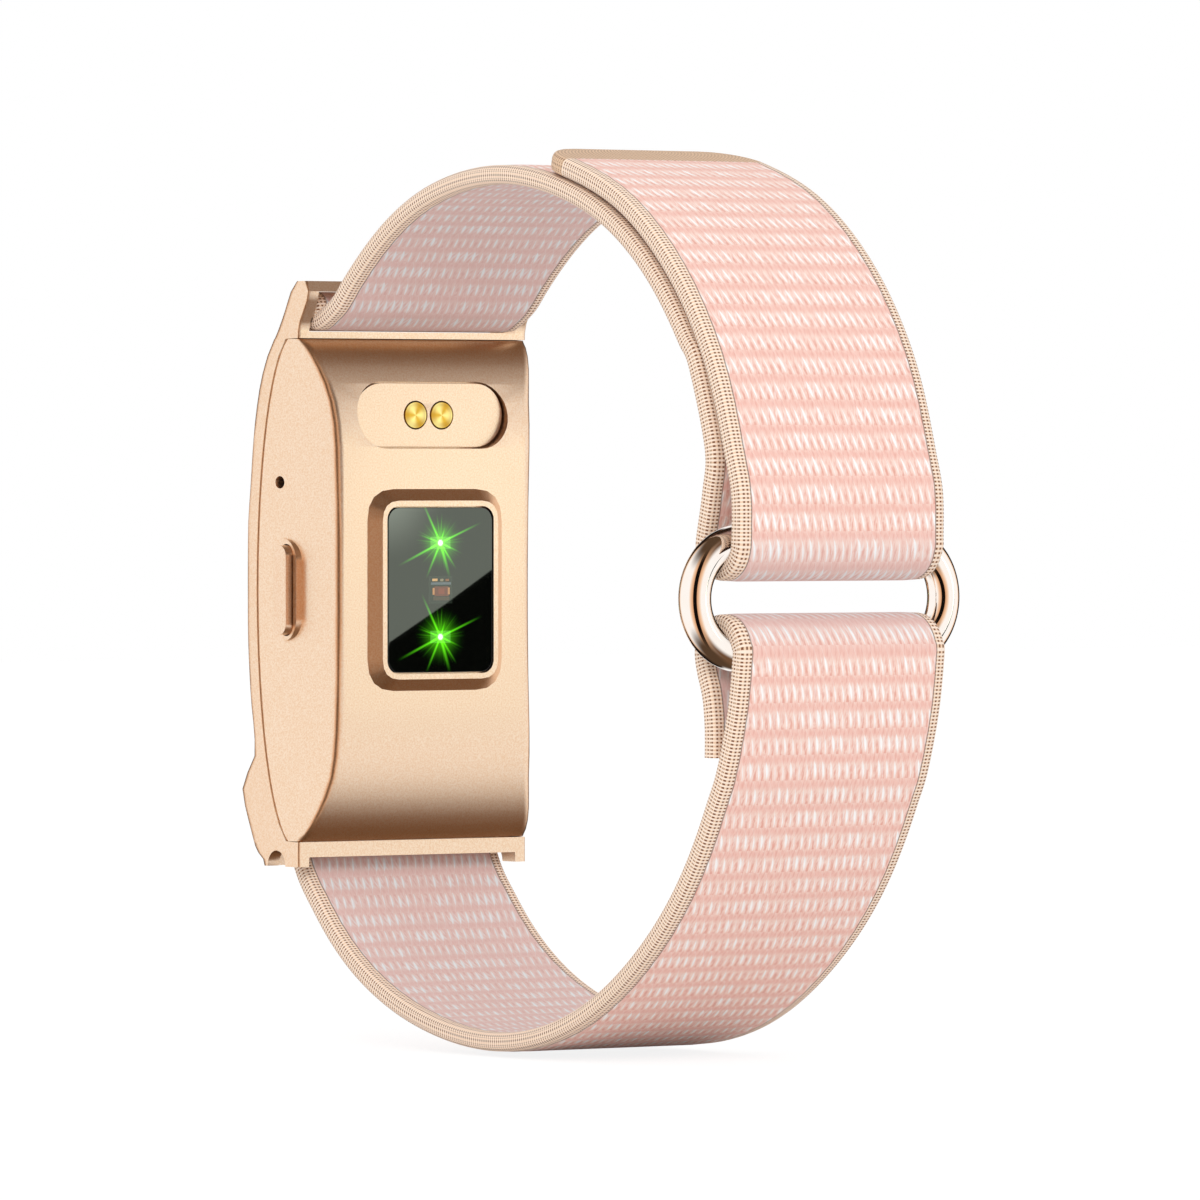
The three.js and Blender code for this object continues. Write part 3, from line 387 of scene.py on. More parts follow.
def woven_strap():
    """Nylon webbing, woven with cross ribs: pale slanted floats over rose grooves, between two
    bound tan selvedges of fine dotted tabby."""
    made, tree, shader, where = new_material(
        "ribbed_nylon_webbing", "webbing", Roughness=0.85, Sheen_Weight=0.15, Sheen_Roughness=0.5
    )
    axes = add(tree, "SeparateXYZ", add(tree, "UVMap", uv_map="weave"))
    along, round_band = axes.outputs["X"], axes.outputs["Y"]
    half_round = 2 * (STRAP_HALF_WIDTH + STRAP_HALF_THICKNESS)
    across = add(tree, "Math MODULO", round_band, half_round)
    shaded = add(tree, "Attribute", attribute_name="painted_shade_share").outputs["Fac"]

    rows = add(tree, "Math DIVIDE", along, RIB_PITCH)
    row_number = add(tree, "Math FLOOR", rows)
    row_share = add(tree, "Math FRACT", rows)
    # On the reverse face the map runs the other way across, so the slant is turned there.
    face = add(tree, "Math LESS_THAN", round_band, half_round)
    slant = add(tree, "Math MULTIPLY_ADD", face, 1.9, -0.9)
    curl = add(tree, "Math MULTIPLY", row_share, row_share)
    offset = add(tree, "Math MULTIPLY", row_number, ROW_OFFSET)
    lean = add(tree, "Math MULTIPLY_ADD", curl, slant, offset)
    # The long floats: each is a tapered fleck, a little wider or higher up by chance.
    threads = add(tree, "Math ADD", add(tree, "Math DIVIDE", across, FLOAT_PITCH), lean)
    thread_number = add(tree, "Math FLOOR", threads)
    luck = add(tree, "TexWhiteNoise 2D", add(tree, "CombineXYZ", thread_number, row_number))
    off_middle = add(
        tree, "Math ABSOLUTE", add(tree, "Math SUBTRACT", add(tree, "Math FRACT", threads), 0.5)
    )
    float_middle = add(tree, "Math MULTIPLY_ADD", luck, 0.14, FLOAT_MIDDLE)
    reach = add(tree, "Math SUBTRACT", row_share, float_middle)
    reach = add(tree, "Math DIVIDE", reach, FLOAT_HALF_LENGTH)
    taper = add(
        tree, "Math MAXIMUM",
        add(tree, "Math SUBTRACT", 1.0, add(tree, "Math MULTIPLY", reach, reach)),
        0.0,
    )
    width = add(tree, "Math MULTIPLY", taper, add(tree, "Math MULTIPLY_ADD", luck, 0.12, 0.08))
    fleck = add(
        tree, "MapRange SMOOTHSTEP", add(tree, "Math SUBTRACT", off_middle, width), 0.07, -0.12
    )
    fleck = add(tree, "Math MULTIPLY", fleck, add(tree, "MapRange SMOOTHSTEP", luck, -0.9, 0.5))
    tension = add(tree, "TexNoise", where, 1 / (2.6 * MM))
    fleck = add(tree, "Math MULTIPLY", fleck, add(tree, "Math MULTIPLY_ADD", tension, 0.6, 0.75))
    # Small floats show between them here and there.
    leaning = add(tree, "Math MULTIPLY_ADD", row_share, 0.5, across)
    small = centred(tree, leaning, SMALL_FLOAT_PITCH)
    small = add(tree, "MapRange SMOOTHSTEP", small, 0.35, 0.05)
    small = add(
        tree, "Math MULTIPLY",
        small,
        add(tree, "MapRange SMOOTHSTEP", add(tree, "Math MULTIPLY", luck, tension), 0.1, 0.5),
    )
    fleck = add(
        tree, "Math MAXIMUM",
        fleck,
        add(tree, "Math MULTIPLY", small, add(tree, "Math MULTIPLY", taper, 0.45)),
    )
    # The ground: streaks of single threads, grooves between the rows, painted shade in the gaps
    # between the floats, deepest low in each row, and ticks in the grooves.
    streak_place = add(
        tree, "CombineXYZ",
        add(tree, "Math DIVIDE", across, STREAK[0]),
        add(tree, "Math DIVIDE", along, STREAK[1]),
    )
    streak = add(tree, "TexNoise", streak_place, 1.0, 2.0)
    groove = centred(tree, add(tree, "Math ADD", rows, GROOVE_SHIFT), 1.0)
    groove = add(tree, "MapRange SMOOTHSTEP", groove, 0.2, 0.5)
    painted_gap_shade = add(
        tree, "Math MULTIPLY",
        add(tree, "MapRange SMOOTHSTEP", off_middle, 0.2, 0.44),
        add(tree, "MapRange SMOOTHSTEP", streak, 0.25, 0.6),
    )
    low_in_row = add(tree, "MapRange SMOOTHSTEP", row_share, 0.62, 0.25)
    painted_gap_shade = add(
        tree, "Math MULTIPLY", painted_gap_shade, add(tree, "Math MULTIPLY_ADD", low_in_row, 0.75, 0.25)
    )
    rose = add(tree, "Mix RGBA", groove, colour("#FADCD0"), colour("#F5C8BB"))
    dark_streak = add(tree, "MapRange SMOOTHSTEP", streak, 0.42, 0.7)
    tick = add(tree, "MapRange SMOOTHSTEP", centred(tree, across, TICK_PITCH), 0.3, 0.08)
    tick = add(
        tree, "Math MULTIPLY",
        tick,
        add(tree, "Math MULTIPLY", groove, add(tree, "MapRange SMOOTHSTEP", streak, 0.3, 0.6)),
    )
    rose = layered(
        tree, rose, (dark_streak, 0.6, "#F1BBAC"), (painted_gap_shade, 0.85, "#E5A291"),
        (tick, 0.4, "#E3A092"), (fleck, 0.9, "#FFFEFD"),
    )
    # Painted shade: a greyer, darker copy of the weave with bluish flecks, for the faces in shade.
    painted_shade = add(tree, "Mix RGBA", 0.5, rose, colour("#CFBBBB"))
    painted_shade = layered(tree, painted_shade, (fleck, 0.7, "#E9EFF2"))
    field = add(tree, "Mix RGBA", shaded, rose, painted_shade)

    # The selvedges, and the line along which they are bound.
    tan, dot = dotted_tabby(tree, along, across, "#FBE7D5", "#EFCDAE", "#7C4828")
    from_edge = add(
        tree, "Math MINIMUM", across, add(tree, "Math SUBTRACT", 2 * STRAP_HALF_WIDTH, across)
    )
    in_field = add(tree, "Math GREATER_THAN", from_edge, BORDER_WIDTH)
    stitch_line = add(
        tree, "MapRange SMOOTHSTEP",
        add(tree, "Math ABSOLUTE", add(tree, "Math SUBTRACT", from_edge, BORDER_WIDTH)),
        0.09,
        0.02,
    )
    cloth = add(tree, "Mix RGBA", in_field, tan, field)
    cloth = layered(tree, cloth, (stitch_line, 0.7, "#5F4A44"))
    field_height = add(
        tree, "Math ADD",
        add(tree, "Math MULTIPLY", fleck, 0.5),
        add(tree, "Math MULTIPLY_ADD", groove, -0.3, add(tree, "Math MULTIPLY", streak, 0.3)),
    )
    height = add(tree, "Mix", in_field, add(tree, "Math SUBTRACT", 1.0, dot), field_height)
    feed(tree, shader, {
        "Base Color": cloth,
        "Normal": add(tree, "Bump", {"Height": height, "Strength": 0.5, "Distance": 0.09 * MM}),
    })
    return made


def tip_weave():
    """Nylon binding, woven dense and heat-sealed: tan and brown dotted tabby."""
    made, tree, shader, where = new_material(
        "dense_nylon_binding", "tip_weave", Roughness=0.8, Sheen_Weight=0.1
    )
    axes = add(tree, "SeparateXYZ", add(tree, "UVMap", uv_map="weave"))
    along, across = axes.outputs["X"], axes.outputs["Y"]
    cloth, dot = dotted_tabby(tree, along, across, "#EBCDAE", "#DDB693", "#7D5238")
    wear = add(tree, "TexNoise", where, 1 / (0.9 * MM), 2.0)
    cloth = layered(tree, cloth, (wear, 0.3, "#C79B74"))
    feed(tree, shader, {
        "Base Color": cloth,
        "Normal": add(tree, "Bump", {
            "Height": add(tree, "Math SUBTRACT", 1.0, dot), "Strength": 0.5, "Distance": 0.08 * MM
        }),
    })
    return made


def hook_tape():
    """Nylon hook tape, moulded with rows of small hooks: a dull brown mat."""
    made, tree, shader, where = new_material("moulded_nylon_hook_tape", "hook_tape", Roughness=0.7)
    hooks = add(
        tree, "TexVoronoi", {"Vector": where, "Scale": 1 / (0.45 * MM), "Randomness": 0.35}
    )
    tone = add(
        tree, "Mix RGBA",
        add(tree, "MapRange SMOOTHSTEP", hooks, 0.1, 0.45),
        colour("#C39F82"),
        colour("#6E523F"),
    )
    feed(tree, shader, {
        "Base Color": tone,
        "Normal": add(tree, "Bump", {
            "Height": add(tree, "Math SUBTRACT", 1.0, hooks), "Strength": 0.8, "Distance": 0.2 * MM
        }),
    })
    return made


def plain_finish(name, slot, first, second, grain_mm, depth_mm, **shader_values):
    """A finish of two close tones in a grain of that size."""
    made, tree, shader, where = new_material(name, slot, **shader_values)
    grain = add(tree, "TexNoise", where, 1 / (grain_mm * MM), 3.0)
    feed(tree, shader, {
        "Base Color": add(
            tree, "Mix RGBA",
            add(tree, "MapRange SMOOTHSTEP", grain, 0.35, 0.65),
            colour(first),
            colour(second),
        ),
        "Normal": add(tree, "Bump", {"Height": grain, "Strength": 0.5, "Distance": depth_mm * MM}),
    })
    return made


def circuit_laminate():
    """Glass-epoxy board, etched and coated in dark green resist, with gold pads."""
    made, tree, shader, where = new_material(
        "resist_coated_circuit_board", "circuit_board", Roughness=0.4
    )
    cells = add(
        tree, "TexVoronoi",
        {"Vector": where, "Scale": 1 / (1.1 * MM), "Randomness": 0.4},
        distance="CHEBYCHEV",
    )
    pads = add(tree, "Math LESS_THAN", cells, 0.16)
    resist = add(
        tree, "Mix RGBA",
        add(tree, "TexNoise", where, 1 / (0.6 * MM)),
        colour("#12402B"),
        colour("#1C5A3B"),
    )
    feed(tree, shader, {
        "Base Color": add(tree, "Mix RGBA", pads, resist, colour("#C9A24A")),
        "Metallic": pads,
        "Normal": add(tree, "Bump", {"Height": pads, "Strength": 0.5, "Distance": 0.03 * MM}),
    })
    return made


case_metal = blasted_case()
ring_metal = polished_ring()
window_glass = sensor_glass()
front_glass = smoked_glass()
contact_gold = spun_gold()
webbing = woven_strap()
tip_cloth = tip_weave()
hook_mat = hook_tape()
board = circuit_laminate()
# Silicone, moulded: a soft dark grey with little shine.
seal_rubber = plain_finish(
    "moulded_silicone", "seal_rubber", "#2B2725", "#37322F", 0.2, 0.01, Roughness=0.6
)
# Display laminate, polished: near black with a faint blue.
display = plain_finish(
    "laminated_display", "display", "#0B0D14", "#12151F", 0.6, 0.002, Roughness=0.12
)
# Polyimide film, etched: amber with a slight gloss.
flex_film = plain_finish(
    "polyimide_flex_film", "flex_film", "#B5742A", "#D0903F", 0.5, 0.01, Roughness=0.35
)
# Glass-filled nylon, moulded: charcoal with a fine speckle.
inner_plastic = plain_finish(
    "glass_filled_nylon", "inner_plastic", "#26262A", "#3A3A3F", 0.25, 0.02, Roughness=0.55
)
# Aluminium laminate pouch, pressed: dull silver with faint creases.
battery_pouch = plain_finish(
    "pressed_battery_pouch", "battery_pouch", "#B9BCC0", "#D5D7DA", 1.6, 0.03,
    Metallic=0.9, Roughness=0.38,
)
# Stainless steel, turned and passivated: bright with fine marks.
bright_steel = plain_finish(
    "turned_stainless_steel", "bright_steel", "#C6C7C8", "#E4E4E3", 0.15, 0.004,
    Metallic=1.0, Roughness=0.24,
)
# Light-emitting diode in clear epoxy: pale green.
green_led = plain_finish(
    "epoxy_diode", "green_led", "#3CC86A", "#7DE79B", 0.3, 0.004, Roughness=0.2
)


# ---- working on a mesh

def select_only(piece):
    bpy.ops.object.select_all(action="DESELECT")
    piece.select_set(True)
    bpy.context.view_layer.objects.active = piece


def edit(piece, select="SELECT"):
    """Opens the piece in edit mode with all or nothing selected."""
    select_only(piece)
    bpy.ops.object.mode_set(mode="EDIT")
    bpy.ops.mesh.select_all(action=select)


def close_edit():
    bpy.ops.object.mode_set(mode="OBJECT")


def edit_picked(piece, mode, picked):
    """Opens the piece in edit mode with only those vertices, edges or faces selected."""
    edit(piece, "DESELECT")
    bpy.ops.mesh.select_mode(type=mode)
    close_edit()
    mesh = piece.data
    for part in {"VERT": mesh.vertices, "EDGE": mesh.edges, "FACE": mesh.polygons}[mode]:
        part.select = picked(part)
    bpy.ops.object.mode_set(mode="EDIT")


def bake_place(piece):
    """Puts the object's place into its mesh."""
    select_only(piece)
    bpy.ops.object.transform_apply(location=True, rotation=True, scale=True)


def finish_with(piece, kind, **settings):
    """Adds a modifier and applies it."""
    select_only(piece)
    modifier = piece.modifiers.new(kind.lower(), kind)
    for name, value in settings.items():
        setattr(modifier, name, value)
    bpy.ops.object.modifier_apply(modifier=modifier.name)


def ease_edges(piece, width_mm, sharp_degrees, segments=2):
    """Rounds the edges that are sharper than that."""
    finish_with(
        piece, "BEVEL", width=width_mm * MM, segments=segments, limit_method="ANGLE",
        angle_limit=math.radians(sharp_degrees),
    )


def smooth(piece, degrees):
    select_only(piece)
    bpy.ops.object.shade_smooth_by_angle(angle=math.radians(degrees))


def paint(piece, finish):
    piece.data.materials.clear()
    piece.data.materials.append(finish)


def dress(piece, finish, body, *nodes):
    """Gives the piece its finish and slot and its body, and hides the CAD nodes it stands for."""
    paint(piece, finish)
    if nodes:
        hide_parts(*nodes)
    if body:
        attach(piece, body)
    return piece


def merged_copy(node_name, name):
    """A copy of a CAD solid with its loose triangles joined."""
    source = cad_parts[node_name]
    piece = bpy.data.objects.new(name, source.data.copy())
    bpy.context.scene.collection.objects.link(piece)
    select_only(piece)
    bpy.ops.mesh.customdata_custom_splitnormals_clear()
    edit(piece)
    bpy.ops.mesh.remove_doubles(threshold=MERGE_DISTANCE * MM)
    bpy.ops.mesh.dissolve_limited(angle_limit=math.radians(0.3))
    close_edit()
    return piece


# ---- metal case

SHOULDER_TOLERANCE = 0.02 * MM


def round_shoulders(piece, radius_mm):
    """Rounds the two long edges between the side walls and the back of the pod."""
    mesh = piece.data
    reach = max(vertex.co.y for vertex in mesh.vertices)
    faces_of = {}
    for face in mesh.polygons:
        for key in face.edge_keys:
            faces_of.setdefault(key, []).append(face.normal.copy())

    def on_shoulder(edge):
        """Whether a side wall, which looks sideways, meets the back there."""
        normals = faces_of.get(tuple(sorted(edge.vertices)), [])
        depths = [abs(mesh.vertices[i].co.y) for i in edge.vertices]
        if len(normals) != 2 or any(abs(depth - reach) >= SHOULDER_TOLERANCE for depth in depths):
            return False
        back, wall = sorted(normals, key=lambda normal: abs(normal.y))
        return abs(wall.y) > 0.85 and back.x > 0.2

    edit_picked(piece, "EDGE", on_shoulder)
    bpy.ops.mesh.bevel(offset=radius_mm * MM, offset_type="OFFSET", segments=6, clamp_overlap=False)
    bpy.ops.mesh.remove_doubles(threshold=MERGE_DISTANCE * MM)
    close_edit()


def cased_piece(node_name, name, edge_mm, sharp_degrees, body="tracker", finish=case_metal,
                shoulder_mm=0):
    """A part of the case with its edges eased as the blasting leaves them."""
    piece = merged_copy(node_name, name)
    if shoulder_mm:
        round_shoulders(piece, shoulder_mm)
    ease_edges(piece, edge_mm, sharp_degrees)
    smooth(piece, 30)
    finish_with(piece, "WEIGHTED_NORMAL", keep_sharp=True, weight=80)
    return dress(piece, finish, body, node_name)


cased_piece("carrier_frame", "frame_with_lugs", 0.1, 35)
cased_piece("back_case", "pod_back_case", 0.08, 35, shoulder_mm=1.0)
cased_piece("charging_plate", "charging_contact_plate", 0.22, 40)
cased_piece("side_button", "side_push_button", 0.1, 40, body="button")
cased_piece("sensor_window", "sensor_glass", 0.06, 40, finish=window_glass)


# The steps of a contact's turned face, from its rim inwards: width as a share of the radius, and
# depth in mm.
CONTACT_TURNING = ((0.1, 0), (0.06, -0.02), (0.35, 0.012), (0.3, 0))


def charging_contact(node_name, name):
    """A turned contact: a disc with an eased rim and a shallow ring turned into its face."""
    low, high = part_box(node_name)
    middle = (low + high) / 2
    radius = (high.y - low.y) / 2
    bpy.ops.object.select_all(action="DESELECT")
    bpy.ops.mesh.primitive_cylinder_add(
        vertices=ROUND_VERTICES,
        radius=radius,
        depth=high.x - low.x,
        location=middle,
        rotation=(0, math.pi / 2, 0),
        end_fill_type="NGON",
    )
    piece = bpy.context.object
    piece.name = name
    bake_place(piece)
    edit_picked(piece, "FACE", lambda face: face.normal.x > 0.9)
    for width, depth_mm in CONTACT_TURNING:
        bpy.ops.mesh.inset(thickness=width * radius, depth=depth_mm * MM)
    bpy.ops.mesh.poke()
    close_edit()
    ease_edges(piece, 0.04, 60)
    smooth(piece, 40)
    return dress(piece, contact_gold, "tracker", node_name)


charging_contact("contact_left", "charging_contact_left")
charging_contact("contact_right", "charging_contact_right")


# ---- closing ring

RING_MIDDLE_TOLERANCE = 0.02 * MM


def closing_ring():
    """A round bar bent into a long ring: a torus whose two halves are drawn apart."""
    bpy.ops.object.select_all(action="DESELECT")
    bpy.ops.mesh.primitive_torus_add(
        major_radius=RING_END_RADIUS * MM,
        minor_radius=RING_TUBE * MM,
        major_segments=128,
        minor_segments=32,
        location=(RING_X * MM, 0, RING_RISE * MM),
        rotation=(0, math.pi / 2, 0),
    )
    piece = bpy.context.object
    piece.name = "closing_ring_bar"
    bake_place(piece)
    for side in (-1, 1):
        edit_picked(piece, "VERT", lambda vertex: vertex.co.y * side > RING_MIDDLE_TOLERANCE)
        bpy.ops.transform.translate(value=(0, side * RING_STRETCH * MM, 0))
        close_edit()
    smooth(piece, 60)
    return dress(piece, ring_metal, "ring", "closing_ring")


closing_ring()


# ---- strap routes: x and z as shares of the loop's half depth and half height

UPPER_RUN = [
    (-0.824, 0.683), (-0.702, 0.784), (-0.54, 0.88), (-0.41, 0.929), (-0.189, 0.969),
    (0, 0.972), (0.233, 0.932), (0.442, 0.86), (0.658, 0.714), (0.814, 0.529),
]
UPPER_END = [(0.884, 0.346), (0.874, 0.249)]
TAB_START = [(0.998, 0.246)]
TAB_RUN = [
    (0.968, 0.337), (0.899, 0.514), (0.769, 0.691), (0.61, 0.827),
    (0.4435, 0.9186), (0.2326, 0.9814), (0.113, 1.0043),
]
LOWER_RUN = [
    (-0.983, -0.651), (-0.827, -0.808), (-0.552, -0.94), (-0.218, -1.006), (0, -1.01),
    (0.206, -0.973), (0.36, -0.923), (0.611, -0.775), (0.804, -0.594), (0.937, -0.3686),
]
LOWER_END = [(0.983, -0.237)]
FLAP_ROUTE = [(0.8505, -0.1486), (0.874, -0.206), (0.884, -0.274), (0.884, -0.34)]
EASE_STEPS = 24
EASE_ROUNDS = 4
SPLINE_SAMPLES = 400
CUT_STEPS = 600


def route_length(route):
    return sum((b - a).length for a, b in zip(route, route[1:]))


def shared(shares):
    """Shares of the loop as points, in mm."""
    return [Vector((x * LOOP_HALF_DEPTH, z * LOOP_HALF_HEIGHT)) for x, z in shares]


def spline_point(points, share):
    """A point on the smooth curve through the points."""
    last = len(points) - 1
    scaled = last * share
    first = min(int(scaled), last)
    t = scaled - first
    before = points[max(first - 1, 0)]
    start = points[first]
    end = points[min(first + 1, last)]
    after = points[min(first + 2, last)]
    leave = (end - before) / 2
    reach = (after - start) / 2
    return (
        (2 * start - 2 * end + leave + reach) * t ** 3
        + (-3 * start + 3 * end - 2 * leave - reach) * t ** 2
        + leave * t
        + start
    )


def spaced(points, count):
    """That many equal steps along a smooth curve through the points."""
    fine = [spline_point(points, i / SPLINE_SAMPLES) for i in range(SPLINE_SAMPLES + 1)]
    return even_steps(fine, count)


def even_steps(points, count):
    """That many equal steps along straight pieces between the points."""
    lengths = [0.0]
    for a, b in zip(points, points[1:]):
        lengths.append(lengths[-1] + (b - a).length)
    steps, k = [], 0
    for i in range(count + 1):
        target = lengths[-1] * i / count
        while k < len(points) - 2 and lengths[k + 1] < target:
            k += 1
        span = lengths[k + 1] - lengths[k]
        share = (target - lengths[k]) / span if span else 0
        steps.append(points[k].lerp(points[k + 1], min(max(share, 0), 1)))
    return steps


def eased(shares):
    """A run of the route, evened out as stiff webbing evens itself."""
    run = spaced(shared(shares), EASE_STEPS)
    for _ in range(EASE_ROUNDS):
        run = [
            p if i in (0, len(run) - 1) else p.lerp((run[i - 1] + run[i + 1]) / 2, 0.5)
            for i, p in enumerate(run)
        ]
    return run


def fold(radius, bar, start, end, steps=12):
    """An arc round a bar of the ring."""
    return [
        Vector((
            bar[0] + radius * math.cos(start + (end - start) * i / steps),
            bar[1] + radius * math.sin(start + (end - start) * i / steps),
        ))
        for i in range(steps + 1)
    ]


upper_start = Vector((UPPER_PIN[0], UPPER_PIN[1] - PIN_LOOP_RADIUS + STRAP_HALF_THICKNESS))
upper_route = [
    upper_start,
    upper_start + Vector((PIN_RUN, 0)),
    *eased(UPPER_RUN),
    *shared(UPPER_END),
    *fold(UPPER_FOLD_RADIUS, UPPER_BAR, math.pi, 2 * math.pi),
]
tab_route = [
    *fold(UPPER_FOLD_RADIUS, UPPER_BAR, -FOLD_OVERLAP / UPPER_FOLD_RADIUS, 0, steps=1),
    *shared(TAB_START),
    *eased(TAB_RUN),
]
lower_fold = fold(LOWER_FOLD_RADIUS, LOWER_BAR, 0, math.pi)
lower_route = [
    Vector(LOWER_PIN),
    *eased(LOWER_RUN),
    *shared(LOWER_END),
    *lower_fold,
    *shared(FLAP_ROUTE),
]


# ---- woven pieces

def selvedge_outline(half_width, half_thickness, rounding):
    """The band's cross-section, once round, as places across and through. It starts on the outer
    face and goes over the far edge to the inner face."""
    flat_steps, corner_steps, side_steps = 26, 4, 2
    flat, thick = half_width - rounding, half_thickness - rounding
    corners = [
        (flat, thick, math.pi / 2), (flat, -thick, 0),
        (-flat, -thick, -math.pi / 2), (-flat, thick, math.pi),
    ]

    def on_corner(across, through, angle):
        return across + rounding * math.cos(angle), through + rounding * math.sin(angle)

    points = []
    for number, (across, through, start) in enumerate(corners):
        for i in range(corner_steps + 1):
            points.append(on_corner(across, through, start - math.pi / 2 * i / corner_steps))
        begin, end = points[-1], on_corner(*corners[(number + 1) % 4])
        steps = side_steps if number % 2 == 0 else flat_steps
        for i in range(1, steps):
            points.append(tuple(a + (b - a) * (i / steps) for a, b in zip(begin, end)))
    return points


def fill_weave(mesh, weave, keys, outline, along_start, step, half_width, half_thickness):
    """Writes the weave map: mm along the band, and mm round its cross-section from the near edge
    of the outer face."""
    half_round = 2 * (half_width + half_thickness)
    rounds = []
    for across, through in (*outline, outline[0]):
        if through > 0 and abs(across) < half_width - 1e-9:
            rounds.append(across + half_width)
        elif through < 0 and abs(across) < half_width - 1e-9:
            rounds.append(half_round + half_width - across)
        elif across > 0:
            rounds.append(2 * half_width + half_thickness - through)
        else:
            rounds.append(half_round + 2 * half_width + half_thickness + through)
    for face in mesh.polygons:
        around = [rounds[keys[v][1]] for v in face.vertices]
        wraps = max(around) - min(around) > half_round / 2
        for index in face.loop_indices:
            i, j = keys[mesh.loops[index].vertex_index]
            turn = 2 * half_round if wraps and rounds[j] < half_round / 2 else 0
            weave.data[index].uv = (along_start + i * step, rounds[j] + turn)


def band(name, route, along_start=0.0, outer_left=True, width_at=None, relief=RIB_RELIEF,
         half_width=STRAP_HALF_WIDTH, half_thickness=STRAP_HALF_THICKNESS, shift=0.0,
         station=STRAP_STATION, painted_shade_at=None, overlap=0.0):
    """A woven band along a route. It starts as a flat grid that is wrapped round the band's
    cross-section, and its ribs are raised. Its weave map is in mm: along, and round the band."""
    length = route_length(route)
    stations = max(2, round(length / station))
    line = spaced(route, stations)
    rounding = min(SELVEDGE_ROUND, half_thickness * MOST_ROUND)
    outline = selvedge_outline(half_width, half_thickness, rounding)
    count = len(outline)
    bpy.ops.object.select_all(action="DESELECT")
    bpy.ops.mesh.primitive_grid_add(
        x_subdivisions=stations, y_subdivisions=count, size=2, calc_uvs=True
    )
    piece = bpy.context.object
    piece.name = name
    mesh = piece.data
    side = 1 if outer_left else -1
    step = length / stations
    weave = mesh.uv_layers[0]
    weave.name = "weave"
    painted_shade = mesh.attributes.new("painted_shade_share", "FLOAT", "POINT")
    keys = {}
    for vertex in mesh.vertices:
        i = round((vertex.co.x + 1) / 2 * stations)
        j = round((vertex.co.y + 1) / 2 * count)
        keys[vertex.index] = (i, j)
        here = line[i]
        tangent = (line[min(i + 1, stations)] - line[max(i - 1, 0)]).normalized()
        normal = Vector((-tangent.y, tangent.x)) * side
        across, through = outline[j % count]
        along = along_start + i * step
        if width_at:
            reach = width_at(i * step, length)
            across *= reach / half_width
        from_edge = half_width - abs(across)
        if relief and from_edge > BORDER_WIDTH:
            rib = math.cos(2 * math.pi * (along / RIB_PITCH - RIB_PHASE))
            ease = min(1.0, (from_edge - BORDER_WIDTH) / RIB_EASE)
            through += math.copysign(relief * (rib - 1) * 0.5 * ease, through)
        if i * step < overlap:
            through += math.copysign(OVERLAP_STEP, through)
            across += math.copysign(OVERLAP_STEP, across)
        # How much painted shade each vertex takes.
        if painted_shade_at:
            painted_shade.data[vertex.index].value = painted_shade_at(along, through > 0)
        spot = here + normal * (through + shift)
        vertex.co = Vector((spot.x * MM, across * MM, spot.y * MM))
    fill_weave(mesh, weave, keys, outline, along_start, step, half_width, half_thickness)
    edit(piece)
    bpy.ops.mesh.remove_doubles(threshold=2 * MERGE_DISTANCE * MM)
    bpy.ops.mesh.select_all(action="DESELECT")
    bpy.ops.mesh.select_mode(type="EDGE")
    bpy.ops.mesh.select_non_manifold()
    bpy.ops.mesh.fill_holes(sides=0)
    bpy.ops.mesh.select_all(action="SELECT")
    bpy.ops.mesh.normals_make_consistent(inside=False)
    close_edit()
    smooth(piece, 50)
    return piece


def tip_width(at, length):
    """Half the tab's width near its rounded end."""
    into = at - (length - TIP_CORNER)
    if into <= 0:
        return STRAP_HALF_WIDTH
    return STRAP_HALF_WIDTH - TIP_CORNER + math.sqrt(max(TIP_CORNER ** 2 - into ** 2, 0.0))


def cut(route, length):
    """Splits a route that far before its end."""
    fine = spaced(route, CUT_STEPS)
    at = round(CUT_STEPS * (1 - length / route_length(route)))
    return fine[:at + 1], fine[at:]


def pin_loop(name, pin):
    """The sewn loop round a spring bar: a rod with eased ends."""
    bpy.ops.object.select_all(action="DESELECT")
    bpy.ops.mesh.primitive_cylinder_add(
        vertices=ROUND_VERTICES,
        radius=(PIN_LOOP_RADIUS + PIN_LOOP_PLUMP) * MM,
        depth=2 * STRAP_HALF_WIDTH * MM,
        location=(pin[0] * MM, 0, pin[1] * MM),
        rotation=(math.pi / 2, 0, 0),
    )
    piece = bpy.context.object
    piece.name = name
    bake_place(piece)
    ease_edges(piece, 0.45, 60, segments=4)
    weave = piece.data.uv_layers[0] if piece.data.uv_layers else piece.data.uv_layers.new()
    weave.name = "weave"
    for face in piece.data.polygons:
        for index in face.loop_indices:
            spot = piece.data.vertices[piece.data.loops[index].vertex_index].co / MM
            turn = math.atan2(spot.z - pin[1], spot.x - pin[0])
            weave.data[index].uv = (turn * PIN_LOOP_RADIUS, spot.y + STRAP_HALF_WIDTH)
    # The pin loop lies in shade, so it is painted fully shaded.
    painted_shade = piece.data.attributes.new("painted_shade_share", "FLOAT", "POINT")
    for item in painted_shade.data:
        item.value = 1.0
    smooth(piece, 50)
    return piece


def joined(first, second):
    """Two shells of one woven piece as one object."""
    select_only(first)
    second.select_set(True)
    bpy.ops.object.join()
    return first


def ramp(value, start, end):
    """0 before start, 1 after end, and even between them."""
    return min(max((value - start) / (end - start), 0.0), 1.0)


# Where the painted shade of the inner faces ends and begins, in mm along each strap.
upper_end = route_length(upper_route)
painted_shade_ends = (upper_end - 0.35 * math.pi * UPPER_FOLD_RADIUS, upper_end + 1.0)
lower_fold_start = route_length(lower_route[:lower_route.index(lower_fold[0]) + 1])
lower_painted_shade_starts = (lower_fold_start - 0.2, lower_fold_start + 2.6)


